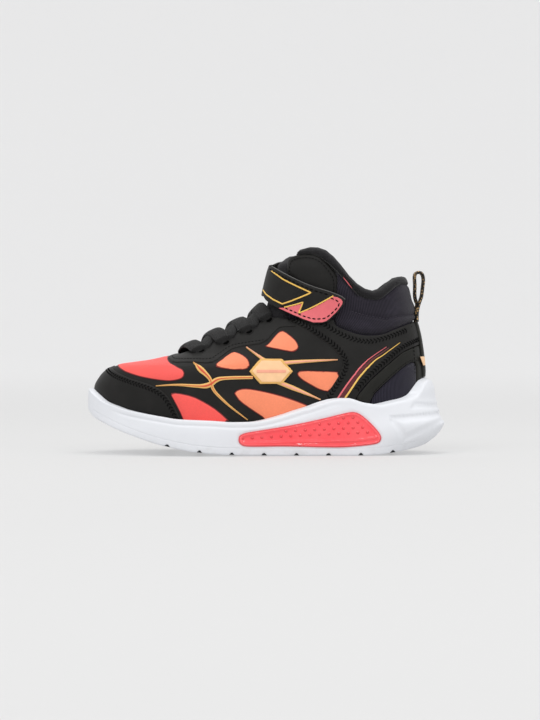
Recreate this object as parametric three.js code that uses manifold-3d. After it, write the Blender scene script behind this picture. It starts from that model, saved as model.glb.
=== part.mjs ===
// Kids' basketball high top, left shoe, with elastic laces and an ankle strap.
// Millimetres, +Z up. The toe points to -X, the heel to +X, the outer (lateral) side to -Y.
// The origin is the middle of the shoe's length and width, on the ground.
import * as THREE from 'three';
import { mergeVertices } from 'three/addons/utils/BufferGeometryUtils.js';
import Module from 'manifold-3d';

const wasm = await Module();
wasm.setup();

// ---- driving dimensions ----------------------------------------------------
const SHOE_LENGTH = 220;
const SHOE_WIDTH_SCALE = 1;
const GAP = 0.3;
const BASE_THICKNESS = 2.6;
const STIFFENER_THICKNESS = 0.7;
const LINING_THICKNESS = 1.0;
const OVERLAY_THICKNESS = 1.4;
const PATCH_THICKNESS = 1.0;
const LACE_WIDTH = 8;
const LACE_THICKNESS = 1.0;
const STRAP_THICKNESS = 1.6;
const TOUCH_TAPE_THICKNESS = 0.8;
const COLLAR_FOAM_THICKNESS = 4.4;
const COLLAR_SKIN = 1.3;
const TONGUE_SKIN = 1.0;
const TONGUE_FOAM_THICKNESS = 3.4;
const TONGUE_TOP = 122;
const SOCK_FRONT = 26;
const OUTSOLE_THICKNESS = 4.5;
const WINDOW_THICKNESS = 3.0;
const INSOLE_THICKNESS = 4.0;
const STROBEL_THICKNESS = 1.5;
const GROOVE_DEPTH = 1.3;
const GROOVE_WIDTH = 2.4;
const GROOVE_PITCH = 19.5;
const LOOP_WIDTH = 14;
const LOOP_TAPE = 1.0;
const BACKSTAY_HALF_WIDTH = 9;

// Depths of the layers, measured outward from the face of the base upper.
const OVERLAY_IN = GAP;
const OVERLAY_OUT = OVERLAY_IN + OVERLAY_THICKNESS;
const SECOND_IN = OVERLAY_OUT + GAP;
const SECOND_OUT = SECOND_IN + PATCH_THICKNESS;
const CUP_FIT = OVERLAY_OUT + GAP;
const BASE_IN = -BASE_THICKNESS;
const STIFF_OUT = BASE_IN - GAP;
const STIFF_IN = STIFF_OUT - STIFFENER_THICKNESS;
const LINING_OUT = STIFF_IN - GAP;
const LINING_IN = LINING_OUT - LINING_THICKNESS;
const LOOP_PATCH_OUT = SECOND_IN + TOUCH_TAPE_THICKNESS;
const HOOK_IN = LOOP_PATCH_OUT + GAP;
const HOOK_OUT = HOOK_IN + TOUCH_TAPE_THICKNESS;
const STRAP_IN = HOOK_OUT + GAP;
const STRAP_OUT = STRAP_IN + STRAP_THICKNESS;
const TONGUE_OUT = BASE_IN - 0.8;

// ---- the last: side outlines and widths -------------------------------------
// Front of the upper in side view, as height -> x.
const FRONT = [
  [8, -103], [30, -104.2], [40, -104.3], [46, -101.4], [50, -97.6], [53, -91.5], [54.4, -82],
  [55.8, -72], [58, -62], [60.6, -52], [65, -41.5], [70.4, -31.5], [75, -21.5], [80, -11],
  [84, -5], [89, -0.5], [94, 2], [100, 3.6], [106, 5], [112, 6.6], [118, 8.6], [124, 10], [132, 11],
];
// Back of the upper in side view, as height -> x.
const BACK = [
  [8, 92], [20, 95], [40, 95.8], [50, 95.5], [61, 94.5], [72, 92.8], [77, 91.6], [82, 90.6],
  [88, 89.6], [96, 88.4], [101, 87.4], [105, 86], [109, 83.8], [116, 82], [132, 80],
];
// Half widths of the foot plan, as x -> width, outer and inner side.
const PLAN_OUTER = [[-112, 31], [-90, 34], [-65, 37.5], [-42, 39.3], [-15, 36.8], [15, 33.5], [45, 31.5], [100, 31]];
const PLAN_INNER = [[-112, 33], [-90, 36], [-65, 38], [-42, 37], [-15, 33], [15, 30], [45, 30], [100, 31]];
// Half width of the ankle shaft, as height -> width.
const SHAFT = [[50, 30], [70, 28.5], [85, 27.8], [100, 29.5], [115, 31.5], [132, 32]];
// Length over which the front end rounds off, as height -> length.
const FRONT_ROUND = [[8, 62], [60, 62], [80, 52], [95, 42], [132, 38]];
const BACK_ROUND = 36;
const ROUNDNESS = 2.2;

// Top and bottom lines of the sole in side view.
const SOLE_TOP = [
  [-109.5, 40], [-105.5, 36.5], [-99.5, 32.3], [-93.5, 30.2], [-84, 27.5], [-63.5, 24], [-53, 22.5],
  [-41, 22], [-32, 21.6], [-20, 20.8], [-8, 21], [-0.5, 22], [11.5, 25], [21, 28], [28, 30], [37, 33],
  [43.5, 34.5], [50, 35], [54, 34], [58.5, 32.5], [64.5, 31.5], [69, 31], [75.5, 32], [82, 33.5],
  [87, 34.5], [92, 36.5], [95, 40], [97.5, 45], [99.5, 46.4],
];
const SOLE_BOTTOM = [
  [-110, 27.5], [-108.5, 25], [-105.5, 22.3], [-101, 20], [-91, 15.5], [-77, 10.5], [-67.5, 7.5],
  [-59.5, 5.5], [-52, 3.9], [-41, 2.1], [-20.5, 0.6], [2.5, 0.2], [35, 0], [55.5, 0], [69, 0.6],
  [78, 1.6], [88.5, 3.4], [96.5, 5.2], [101, 7.5], [105, 10.5], [111, 16],
];
const SOLE_FRONT = [[-2, -110], [27, -110], [36, -110], [41, -109.3], [50, -108]];
const SOLE_BACK = [
  [-2, 95], [3, 97], [7.5, 101.4], [10.5, 104.8], [14.5, 108], [19, 110], [26, 107.2],
  [31.5, 105.6], [34.5, 104.7], [40, 104], [44, 102.6], [50, 99.5],
];
// Extra half width of the sole over the upper, as height -> width.
const SOLE_FLARE = [[-2, 4.6], [6, 5.6], [14, 6.0], [24, 5.2], [50, 4.6]];
const BED = [[-114, 33], [-100, 28], [-85, 21.8], [-65, 16.2], [-40, 13], [0, 12], [40, 13.5], [114, 17]];

// Half width of the throat opening in plan, as x -> width, and its ends.
const THROAT = [[-52, 8], [-45, 10], [-20, 13], [0, 17], [13.5, 23.5]];
const THROAT_START = -52;
// Lowest line that the tongue's edges reach, in side view.
const TONGUE_EDGE = [[-60, 40], [-45, 49], [-20, 59], [0, 68], [9, 84], [20, 106]];

// ---- side view outlines of the panels (x, z) ---------------------------------
const TOE_CAP = [
  [-120, 10], [-120, 64], [-97, 64], [-96, 53.5], [-84.5, 45.5], [-71, 41], [-61.5, 37], [-57, 32],
  [-53, 26.5], [-50, 10],
];
const VAMP_PANEL = [
  [-92.5, 64], [-92.5, 53.5], [-87.5, 50.4], [-79.5, 48], [-71.5, 46.4], [-60, 45], [-54.5, 45.4], [-50.5, 46.5],
  [-48.5, 49], [-49.5, 51.8], [-53, 53], [-57.5, 54.5], [-59.5, 57], [-59.5, 64],
];
const LOWER_PANEL = [
  [-58, 38], [-53.5, 38.5], [-44, 36.5], [-36, 32.5], [-29, 28], [-20, 20], [-20, 10], [-49.3, 10],
  [-51, 25], [-54.5, 32],
];
const MIDDLE_PANEL = [
  [-31.5, 53.8], [-26.5, 57.5], [-23, 60], [-20, 62], [-16.5, 61.6], [-12.5, 59.5], [-10, 57], [-9.5, 54.5], [-11, 52.5],
  [-14.5, 52], [-20, 52], [-26, 52.6],
];
const WAIST_PANEL = [
  [-19.5, 38], [-17.5, 40], [-13.5, 41], [-8, 40.5], [-0.5, 39], [7.5, 37], [15.5, 34.5], [23.5, 31.5],
  [29, 29], [29, 10], [-1, 10], [-0.5, 22.5], [-8, 27.5], [-16, 33], [-18.5, 36.5],
];
const UPPER_PANEL = [
  [-1, 65.5], [1.5, 67], [6, 72.4], [9, 75], [11.5, 75], [17.5, 70.5], [19.5, 67.5], [20, 65], [18, 63],
  [15.5, 62.5], [9.5, 63.5], [3.5, 64.6],
];
const REAR_PANEL = [
  [18.5, 49], [19.5, 51], [22.5, 51.5], [35, 51.2], [44.5, 50.4], [37, 39], [33, 39.5], [27.5, 42.5],
  [21.5, 46],
];
const EYESTAY = [
  [-58.5, 70], [-58.5, 57], [-56.5, 55], [-45.5, 55.6], [-33, 55], [-28, 58], [-21, 63.5], [-16.5, 65],
  [-10.5, 66], [-0.5, 67.5], [7, 76], [10.5, 77.5], [19, 77.8], [12.2, 83.7], [12.2, 86], [-10, 100], [-58.5, 100],
];
const SADDLE = [
  [13.6, 83.7], [25, 78.5], [34.5, 72.5], [42, 67], [48, 60.5], [49.5, 55.5], [48, 50], [44, 43.5],
  [38.5, 35.5], [37, 10], [54, 10], [55, 36.5], [63, 46], [72.5, 54.5], [82, 62.5], [89, 65.5],
  [96, 67.8], [112, 68], [112, 82], [92.5, 81.5], [85, 79], [77.5, 76], [70.5, 73], [63.5, 72.5],
  [56.5, 73], [49.5, 75.5], [42, 78.5], [41, 83.7],
];
const FLAP = [
  [12.5, 84.1], [12.5, 118], [14, 120], [18.5, 121.8], [28, 122.6], [34.5, 119.6], [39, 114.6], [43.6, 108.6],
  [43, 98], [41.6, 84.1],
];
const HEEL_PANEL = [
  [54.6, 10], [55.4, 36], [63.3, 45.6], [72.8, 54.1], [82.2, 62.1], [89, 65.1], [96, 67.4], [112, 67.6],
  [112, 10],
];
const HEEL_INSET = [
  [64, 10], [64, 34], [66, 37.5], [70.5, 42], [77.5, 48.5], [84.5, 54.5], [88, 56.3], [90, 56], [91, 53.5],
  [91, 41.5], [90.4, 10],
];
const CAGE = [[-97.5, 10], [-97.5, 66], [-40, 80], [20, 84], [50, 66], [50, 10]];
const COLLAR_LOW = [
  [19, 122.9], [28, 123.2], [34.8, 120.2], [40.5, 115.4], [47.5, 108.5], [52.5, 102], [56, 97.8],
  [60, 95.4], [66.5, 93.4], [71, 94], [75, 96.5], [78.5, 100], [81.5, 103.4], [84, 104], [112, 104],
];
const COLLAR_TOP = [
  [112, 106], [88, 106.2], [85.5, 108.8], [83, 110], [80, 109.6], [75.5, 106.5], [70.5, 102.4], [65.5, 100.8],
  [60.5, 102], [55.5, 105], [50.5, 110], [45.5, 116.5], [41, 121.5], [36, 125.5], [31, 127.2],
  [26, 127.5], [21, 126.4], [19, 124.5],
];
const COLLAR_SEAM = [
  [42.4, 78.8], [49.6, 75.8], [56.6, 73.3], [63.5, 72.8], [70.4, 73.3], [77.4, 76.3], [85, 79.3],
  [92.5, 81.8], [112, 82.3],
];
const WINDOW = [
  [-16.5, 9.5], [-15.5, 13.5], [-3, 15.5], [16, 18.5], [35, 22.5], [49, 26], [52.5, 26.5], [56, 25.8],
  [61, 22], [67.5, 15.5], [70, 11], [68.5, 8], [65, 7], [49, 5.4], [35, 5.4], [11, 6.2], [-1, 6],
  [-11.5, 6], [-15, 7],
];
const STRAP = [
  [-30, 124], [3.5, 116.5], [13.5, 110.5], [21.5, 106.5], [29.5, 103], [37.5, 100.5], [45.5, 97.5],
  [48, 95.5], [47.5, 92.5], [44, 87.5], [40, 83], [37.5, 80.5], [34.5, 79.5], [29, 79], [23, 81],
  [11, 87.5], [1.5, 92.5], [-30, 92.5],
];
const STRAP_ROOT_SIDE = [
  [-30, 124], [3.5, 116.5], [13.5, 110.5], [21.5, 106.5], [29.5, 103], [38, 100], [36, 79], [29, 79.5],
  [23, 81.5], [11, 87.5], [1.5, 92.5], [-30, 92.5],
];
const TAPE_PATCH = [[18, 88], [40, 87], [43, 95], [24, 101.5]];
const ANCHOR_PATCH = [[17, 87], [34, 82], [35.5, 98.5], [19, 104]];
const EMBLEM_CENTRE = [3, 51];
const EMBLEM_SIZE = [13, 7.5];
// The strap folds on a line that leans back with the shin: x at a height, and the lean.
const FOLD = { x: 8, z: 104, lean: 0.275 };

// ---- small tools ---------------------------------------------------------------
// Smooth, monotone interpolation through a table of (input, value) stations.
function along(table, t) {
  const n = table.length;
  if (t <= table[0][0]) return table[0][1];
  if (t >= table[n - 1][0]) return table[n - 1][1];
  let i = 0;
  while (t > table[i + 1][0]) i += 1;
  const slope = (k) => (table[k + 1][1] - table[k][1]) / (table[k + 1][0] - table[k][0]);
  const tangent = (k) => {
    if (k === 0) return slope(0);
    if (k === n - 1) return slope(n - 2);
    const a = slope(k - 1);
    const b = slope(k);
    return a * b <= 0 ? 0 : (2 * a * b) / (a + b);
  };
  const h = table[i + 1][0] - table[i][0];
  const u = (t - table[i][0]) / h;
  const u2 = u * u;
  const u3 = u2 * u;
  return (
    (2 * u3 - 3 * u2 + 1) * table[i][1] +
    (u3 - 2 * u2 + u) * h * tangent(i) +
    (3 * u2 - 2 * u3) * table[i + 1][1] +
    (u3 - u2) * h * tangent(i + 1)
  );
}

const clamp01 = (v) => Math.min(1, Math.max(0, v));
const smooth = (a, b, v) => {
  const u = clamp01((v - a) / (b - a));
  return u * u * (3 - 2 * u);
};
const endRound = (u) => Math.pow(1 - Math.pow(1 - clamp01(u), ROUNDNESS), 1 / ROUNDNESS);
const lengthScale = SHOE_LENGTH / 220;
const centreLine = (x) => 3 * Math.pow(clamp01(-x / 110), 1.5);

// Half width of the upper at (x, z) on one side: -1 outer, +1 inner.
function upperWidth(x, z, side) {
  const plan = along(side < 0 ? PLAN_OUTER : PLAN_INNER, x);
  const tuck = 1 - 0.1 * (1 - smooth(10, 36, z));
  const mix = smooth(46, 84, z);
  return (plan * tuck * (1 - mix) + along(SHAFT, z) * mix) * SHOE_WIDTH_SCALE;
}

function upperRing(z, count) {
  const front = along(FRONT, z);
  const back = along(BACK, z);
  const roundLength = along(FRONT_ROUND, z);
  const point = (k, side) => {
    const x = front + ((back - front) * (1 - Math.cos((Math.PI * k) / count))) / 2;
    const shape = endRound((x - front) / roundLength) * endRound((back - x) / BACK_ROUND);
    return new THREE.Vector3(x, centreLine(x) + side * upperWidth(x, z, side) * shape, z);
  };
  return ringOf(point, count);
}

function soleRing(z, count) {
  const front = along(SOLE_FRONT, z);
  const back = along(SOLE_BACK, z);
  const point = (k, side) => {
    const x = front + ((back - front) * (1 - Math.cos((Math.PI * k) / count))) / 2;
    const plan = along(side < 0 ? PLAN_OUTER : PLAN_INNER, x);
    const wide = (plan + along(SOLE_FLARE, z)) * SHOE_WIDTH_SCALE;
    const shape = endRound((x - front) / 66) * endRound((back - x) / 42);
    return new THREE.Vector3(x, centreLine(x) + side * wide * shape, z);
  };
  return ringOf(point, count);
}

// A closed ring, outer side front to back, then inner side back to front.
function ringOf(point, count) {
  const ring = [];
  for (let k = 0; k <= count; k += 1) ring.push(point(k, -1));
  for (let k = count - 1; k >= 1; k -= 1) ring.push(point(k, 1));
  return ring;
}

// A closed solid through stacked rings, grown outward by a depth along the face normals.
function ringSolid(rings, depth) {
  const rows = rings.length;
  const cols = rings[0].length;
  const positions = [];
  for (let i = 0; i < rows; i += 1) {
    for (let j = 0; j < cols; j += 1) {
      const around = rings[i][(j + 1) % cols].clone().sub(rings[i][(j + cols - 1) % cols]);
      const upward = rings[Math.min(i + 1, rows - 1)][j].clone().sub(rings[Math.max(i - 1, 0)][j]);
      const normal = around.cross(upward).normalize();
      const p = rings[i][j].clone().addScaledVector(normal, depth);
      positions.push(p.x * lengthScale, p.y, p.z);
    }
  }
  const middle = (row) => {
    let sx = 0;
    let sy = 0;
    let sz = 0;
    for (let j = 0; j < cols; j += 1) {
      sx += positions[(row * cols + j) * 3];
      sy += positions[(row * cols + j) * 3 + 1];
      sz += positions[(row * cols + j) * 3 + 2];
    }
    positions.push(sx / cols, sy / cols, sz / cols);
    return positions.length / 3 - 1;
  };
  const bottom = middle(0);
  const top = middle(rows - 1);
  const faces = [];
  for (let i = 0; i < rows - 1; i += 1) {
    for (let j = 0; j < cols; j += 1) {
      const a = i * cols + j;
      const b = i * cols + ((j + 1) % cols);
      faces.push(a, b, b + cols, a, b + cols, a + cols);
    }
  }
  for (let j = 0; j < cols; j += 1) {
    const next = (j + 1) % cols;
    faces.push(bottom, next, j);
    faces.push(top, (rows - 1) * cols + j, (rows - 1) * cols + next);
  }
  return solidFrom(new Float32Array(positions), new Uint32Array(faces));
}

function solidFrom(vertProperties, triVerts) {
  return new wasm.Manifold(new wasm.Mesh({ numProp: 3, vertProperties, triVerts }));
}

function toSolid(geometry) {
  const bare = geometry.clone();
  bare.deleteAttribute('normal');
  bare.deleteAttribute('uv');
  const merged = mergeVertices(bare, 1e-4);
  return solidFrom(new Float32Array(merged.attributes.position.array), new Uint32Array(merged.index.array));
}

// An XZ outline carried across the shoe from yFrom to yTo.
function prism(outline, yFrom = -80, yTo = 80, scaled = true) {
  const k = scaled ? lengthScale : 1;
  const shape = new THREE.Shape(outline.map(([x, z]) => new THREE.Vector2(x * k, z)));
  const geometry = new THREE.ExtrudeGeometry(shape, { depth: yTo - yFrom, bevelEnabled: false });
  geometry.rotateX(Math.PI / 2);
  geometry.translate(0, yTo, 0);
  return toSolid(geometry);
}

// An XY outline carried up from zFrom to zTo.
function column(outline, zFrom, zTo) {
  const shape = new THREE.Shape(outline.map(([x, y]) => new THREE.Vector2(x * lengthScale, y)));
  const geometry = new THREE.ExtrudeGeometry(shape, { depth: zTo - zFrom, bevelEnabled: false });
  geometry.translate(0, 0, zFrom);
  return toSolid(geometry);
}

// The outline moved outward by a distance (inward when it is negative).
function grown(outline, distance) {
  const area = outline.reduce((sum, [x, z], i) => {
    const [nx, nz] = outline[(i + 1) % outline.length];
    return sum + x * nz - nx * z;
  }, 0);
  const turn = area > 0 ? 1 : -1;
  return outline.map(([x, z], i) => {
    const [px, pz] = outline[(i + outline.length - 1) % outline.length];
    const [nx, nz] = outline[(i + 1) % outline.length];
    const a = new THREE.Vector2(x - px, z - pz).normalize();
    const b = new THREE.Vector2(nx - x, nz - z).normalize();
    const na = new THREE.Vector2(a.y, -a.x).multiplyScalar(turn);
    const nb = new THREE.Vector2(b.y, -b.x).multiplyScalar(turn);
    const mid = na.clone().add(nb).normalize();
    const reach = distance / Math.max(0.5, mid.dot(na));
    return [x + mid.x * reach, z + mid.y * reach];
  });
}

// The largest body of a cut result.
function whole(solid) {
  const bodies = solid.decompose();
  let best = bodies[0];
  for (const body of bodies) {
    if (body.volume() > best.volume()) best = body;
  }
  return best;
}

const UPPER_LEVELS = [8, 30, 42, 47.5, 51, 53.6, 55.4, 58, 62.5, 68.5, 75, 82, 91, 101, 111, 121, 132];
const SOLE_LEVELS = [-2, 7, 14, 19, 26, 34, 42, 50];
const UPPER_FACETS = 12;
const SOLE_FACETS = 12;
const upperRings = UPPER_LEVELS.map((z) => upperRing(z, UPPER_FACETS));
const soleRings = SOLE_LEVELS.map((z) => soleRing(z, SOLE_FACETS));
const bodyCache = new Map();
function body(depth) {
  if (!bodyCache.has(depth)) bodyCache.set(depth, ringSolid(upperRings, depth));
  return bodyCache.get(depth);
}
const soleBody = (depth) => ringSolid(soleRings, depth);
const layer = (inner, outer) => body(outer).subtract(body(inner));

// The region over a line of (x, z) points.
function above(line, lift = 0) {
  const points = line.map(([x, z]) => [x, z + lift]);
  return prism([...points, [line[line.length - 1][0], 160], [line[0][0], 160]]);
}
function below(line, lift = 0) {
  const points = line.map(([x, z]) => [x, z + lift]);
  return prism([[line[0][0], -10], [line[line.length - 1][0], -10], ...points.reverse()]);
}
const widened = (line) => [[-130, line[0][1]], ...line, [130, line[line.length - 1][1]]];

// The slot for the tongue, wider or narrower than the throat by an allowance.
function throat(allowance, start = THROAT_START, top = 140) {
  const end = THROAT[THROAT.length - 1];
  const outer = THROAT.map(([x, w]) => [x, centreLine(x) - w - allowance]);
  const inner = THROAT.map(([x, w]) => [x, centreLine(x) + w + allowance]).reverse();
  outer[0][0] = start;
  inner[inner.length - 1][0] = start;
  return column([...outer, [end[0] + allowance, -end[1] - allowance], [end[0] + allowance, end[1] + allowance], ...inner], 46, top);
}

const half = (outline, side) => (side < 0 ? prism(outline, -80, -GAP / 2) : prism(outline, GAP / 2, 80));

// ---- materials -----------------------------------------------------------------
const tones = {
  rubber: [0xe4e6ea, 0.55],
  foamSole: [0xe2e4e8, 0.6],
  window: [0xb0262e, 0.2],
  black: [0x302e2c, 0.6],
  knit: [0x34303a, 0.85],
  lining: [0x2a292b, 0.9],
  foam: [0xc9c4b4, 0.95],
  board: [0xb8ad98, 0.9],
  red: [0xff5f5a, 0.55],
  orange: [0xff9168, 0.55],
  heel: [0x2e2e28, 0.65],
  emblem: [0xf4cda8, 0.5],
  webbing: [0x2b2a28, 0.85],
  tape: [0x222224, 0.95],
};
const shoe = new THREE.Group();
function add(name, solid, tone) {
  const mesh = whole(solid).getMesh();
  const geometry = new THREE.BufferGeometry();
  geometry.setAttribute('position', new THREE.BufferAttribute(new Float32Array(mesh.vertProperties), 3));
  geometry.setIndex(new THREE.BufferAttribute(new Uint32Array(mesh.triVerts), 1));
  geometry.computeVertexNormals();
  const [color, roughness] = tones[tone];
  const node = new THREE.Mesh(geometry, new THREE.MeshStandardMaterial({ color, roughness, metalness: 0 }));
  node.name = name;
  shoe.add(node);
}

// ---- sole ------------------------------------------------------------------------
const soleOutline = [...SOLE_BOTTOM, [112, 46.4], ...[...SOLE_TOP].reverse(), [-113, 40], [-113, 27.5]];
const soleBlock = soleBody(0).intersect(prism(soleOutline));
let tread = soleBlock.intersect(below(widened(SOLE_BOTTOM), OUTSOLE_THICKNESS));
for (let x = -59.5; x < 80; x += GROOVE_PITCH) {
  const floor = along(SOLE_BOTTOM, x);
  const cut = [[x - GROOVE_WIDTH / 2, floor - 1], [x + GROOVE_WIDTH / 2, floor - 1], [x, floor + GROOVE_DEPTH]];
  tread = tread.subtract(prism(cut));
}
add('outsole', tread, 'rubber');

const windowBand = soleBody(0).subtract(soleBody(-WINDOW_THICKNESS));
const windowPocket = soleBody(3).subtract(soleBody(-WINDOW_THICKNESS - GAP));
const footHollow = body(CUP_FIT).intersect(above(BED));
const cup = soleBlock
  .intersect(above(widened(SOLE_BOTTOM), OUTSOLE_THICKNESS + GAP))
  .subtract(footHollow)
  .subtract(windowPocket.intersect(prism(grown(WINDOW, GAP))));
add('midsole', cup, 'foamSole');
const windowBlank = windowBand
  .intersect(prism(WINDOW))
  .intersect(above(widened(SOLE_BOTTOM), OUTSOLE_THICKNESS + GAP));
add('window_lateral', windowBlank.intersect(prism([[-40, 0], [90, 0], [90, 40], [-40, 40]], -80, -5)), 'window');
add('window_medial', windowBlank.intersect(prism([[-40, 0], [90, 0], [90, 40], [-40, 40]], 5, 80)), 'window');

const bedSlab = (from, to) => above(BED, from).intersect(below(BED, to));
add('strobel_board', body(STIFF_OUT).intersect(bedSlab(GAP, GAP + STROBEL_THICKNESS)), 'board');
const insoleFrom = 2 * GAP + STROBEL_THICKNESS;
add('insole', body(LINING_IN - GAP).intersect(bedSlab(insoleFrom, insoleFrom + INSOLE_THICKNESS)), 'lining');

// ---- base upper, stiffeners and lining ----------------------------------------------
const collarZone = prism([...COLLAR_SEAM, [112, 150], [42.4, 150]]);
const flapTop = [[-120, 118], [12.5, 118], [14, 120], [18.5, 121.8], [28, 122.6], [34.5, 119.6], [39, 114.6], [42.1, 110.5], [130, 110.5]];
const base = layer(BASE_IN, 0)
  .intersect(above(BED, GAP))
  .intersect(below(flapTop))
  .subtract(prism(grown([...COLLAR_SEAM, [112, 150], [42.4, 150]], GAP)))
  .subtract(throat(0));
const JOIN = -34;
const frontHalf = (x) => prism([[-130, -20], [x, -20], [x, 160], [-130, 160]]);
const rearHalf = (x) => prism([[x, -20], [130, -20], [130, 160], [x, 160]]);
add('vamp_base', base.intersect(frontHalf(JOIN)), 'knit');
add('quarter_base', base.intersect(rearHalf(JOIN + GAP)), 'knit');

const overBed = above(BED, insoleFrom);
const stiffener = layer(STIFF_IN, STIFF_OUT).intersect(overBed);
add('toe_puff', stiffener.intersect(frontHalf(-72)), 'board');
const counterTop = [[40, 40], [62, 58], [80, 68], [130, 70]];
add('heel_counter', stiffener.intersect(below(counterTop)).intersect(rearHalf(52)), 'board');
const sock = layer(LINING_IN, LINING_OUT)
  .intersect(overBed)
  .intersect(below(flapTop))
  .subtract(prism(grown([...COLLAR_SEAM, [112, 150], [42.4, 150]], GAP)))
  .subtract(throat(9, THROAT_START - 3).intersect(above(TONGUE_EDGE, -10)))
  .subtract(prism([[0, 76], [SOCK_FRONT, 76], [SOCK_FRONT, 140], [0, 140]]));
add('lining', sock, 'lining');

// ---- padded collar ---------------------------------------------------------------------
const collarBody = prism([...COLLAR_SEAM, ...COLLAR_LOW.slice(4).reverse(), [45.4, 110.4], [44.2, 98]]);
const foamOut = -GAP;
const foamIn = foamOut - COLLAR_FOAM_THICKNESS;
add('collar_shell', layer(0, COLLAR_SKIN).intersect(collarBody), 'knit');
add('collar_foam', layer(foamIn, foamOut).intersect(collarBody), 'foam');
add('collar_lining', layer(foamIn - GAP - LINING_THICKNESS, foamIn - GAP).intersect(collarBody), 'lining');
const rollOutline = [...COLLAR_LOW.map(([x, z]) => [x, z + GAP]), ...COLLAR_TOP];
add('collar_roll', layer(foamIn - GAP - LINING_THICKNESS, COLLAR_SKIN).intersect(prism(rollOutline)), 'lining');

// ---- overlays ---------------------------------------------------------------------------
const overlay = layer(OVERLAY_IN, OVERLAY_OUT).intersect(above(widened(SOLE_TOP), -3));
const outside = (solid, outlines) => outlines.reduce((kept, line) => kept.subtract(prism(grown(line, GAP))), solid);
add('toe_cap', overlay.intersect(prism(TOE_CAP)), 'black');
const sidePanels = [
  ['panel_lower', LOWER_PANEL, 'red'],
  ['panel_middle', MIDDLE_PANEL, 'orange'],
  ['panel_waist', WAIST_PANEL, 'orange'],
  ['panel_upper', UPPER_PANEL, 'orange'],
  ['panel_rear', REAR_PANEL, 'orange'],
];
add('panel_vamp', overlay.intersect(prism(VAMP_PANEL)), 'red');
for (const [name, outline, tone] of sidePanels) {
  add(`${name}_lateral`, overlay.intersect(half(outline, -1)), tone);
  add(`${name}_medial`, overlay.intersect(half(outline, 1)), tone);
}
const cageCuts = [TOE_CAP, VAMP_PANEL, EYESTAY, SADDLE, ...sidePanels.map(([, outline]) => outline)];
add('cage', outside(overlay.intersect(prism(CAGE)), cageCuts).subtract(throat(0)), 'black');
add('eyestay', overlay.intersect(prism(EYESTAY)).subtract(throat(0)), 'black');
add('heel_panel', outside(overlay.intersect(prism(HEEL_PANEL)), [HEEL_INSET]), 'heel');
for (const [label, side] of [['lateral', -1], ['medial', 1]]) {
  add(`saddle_${label}`, overlay.intersect(half(SADDLE, side)), 'black');
  add(`ankle_flap_${label}`, overlay.intersect(half(FLAP, side)).subtract(throat(0)), 'black');
  add(`heel_inset_${label}`, overlay.intersect(half(HEEL_INSET, side)), 'knit');
  const badge = [];
  for (let k = 0; k < 12; k += 1) {
    const turn = (k * Math.PI) / 6;
    badge.push([EMBLEM_CENTRE[0] + EMBLEM_SIZE[0] * Math.cos(turn), EMBLEM_CENTRE[1] + EMBLEM_SIZE[1] * Math.sin(turn)]);
  }
  add(`emblem_${label}`, layer(SECOND_IN, SECOND_OUT).intersect(half(badge, side)), 'emblem');
}
const backstayPlan = [
  [80, -BACKSTAY_HALF_WIDTH], [112, -BACKSTAY_HALF_WIDTH], [112, BACKSTAY_HALF_WIDTH], [80, BACKSTAY_HALF_WIDTH],
];
add('backstay', layer(SECOND_IN, SECOND_OUT).intersect(column(backstayPlan, 47, 81.5)), 'black');

// ---- tongue ------------------------------------------------------------------------------
const tonguePlan = throat(4, THROAT_START + 1, TONGUE_TOP).intersect(above(TONGUE_EDGE));
const tongueSkinIn = TONGUE_OUT - TONGUE_SKIN;
const tongueFoamIn = tongueSkinIn - GAP - TONGUE_FOAM_THICKNESS;
const tongueLiningIn = tongueFoamIn - GAP - TONGUE_SKIN;
add('tongue_shell', layer(tongueSkinIn, TONGUE_OUT).intersect(tonguePlan), 'black');
add('tongue_foam', layer(tongueFoamIn, tongueSkinIn - GAP).intersect(tonguePlan), 'foam');
add('tongue_lining', layer(tongueLiningIn, tongueFoamIn - GAP).intersect(tonguePlan), 'lining');

// ---- elastic laces -------------------------------------------------------------------------
// Each lace crosses the throat; one set leans one way, the upper set the other way.
const LACE_STATIONS = [-44, -31.5, -18.5, -6];
const LACE_LEAN = 6.5;
const LACE_REACH = 9;
function lace(x, lean, inner, outer) {
  const reach = along(THROAT, x) + LACE_REACH;
  const y = centreLine(x);
  const plan = [
    [x - lean - LACE_WIDTH / 2, y - reach], [x - lean + LACE_WIDTH / 2, y - reach],
    [x + lean + LACE_WIDTH / 2, y + reach], [x + lean - LACE_WIDTH / 2, y + reach],
  ];
  return layer(inner, outer).intersect(column(plan, 46, 104));
}
LACE_STATIONS.forEach((x, i) => {
  add(`lace_under_${i + 1}`, lace(x, LACE_LEAN, SECOND_IN, SECOND_IN + LACE_THICKNESS), 'webbing');
});
const overIn = SECOND_IN + LACE_THICKNESS + GAP;
LACE_STATIONS.slice(0, 3).forEach((x, i) => {
  add(`lace_over_${i + 1}`, lace(x + 6.2, -LACE_LEAN, overIn, overIn + LACE_THICKNESS), 'webbing');
});

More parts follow.
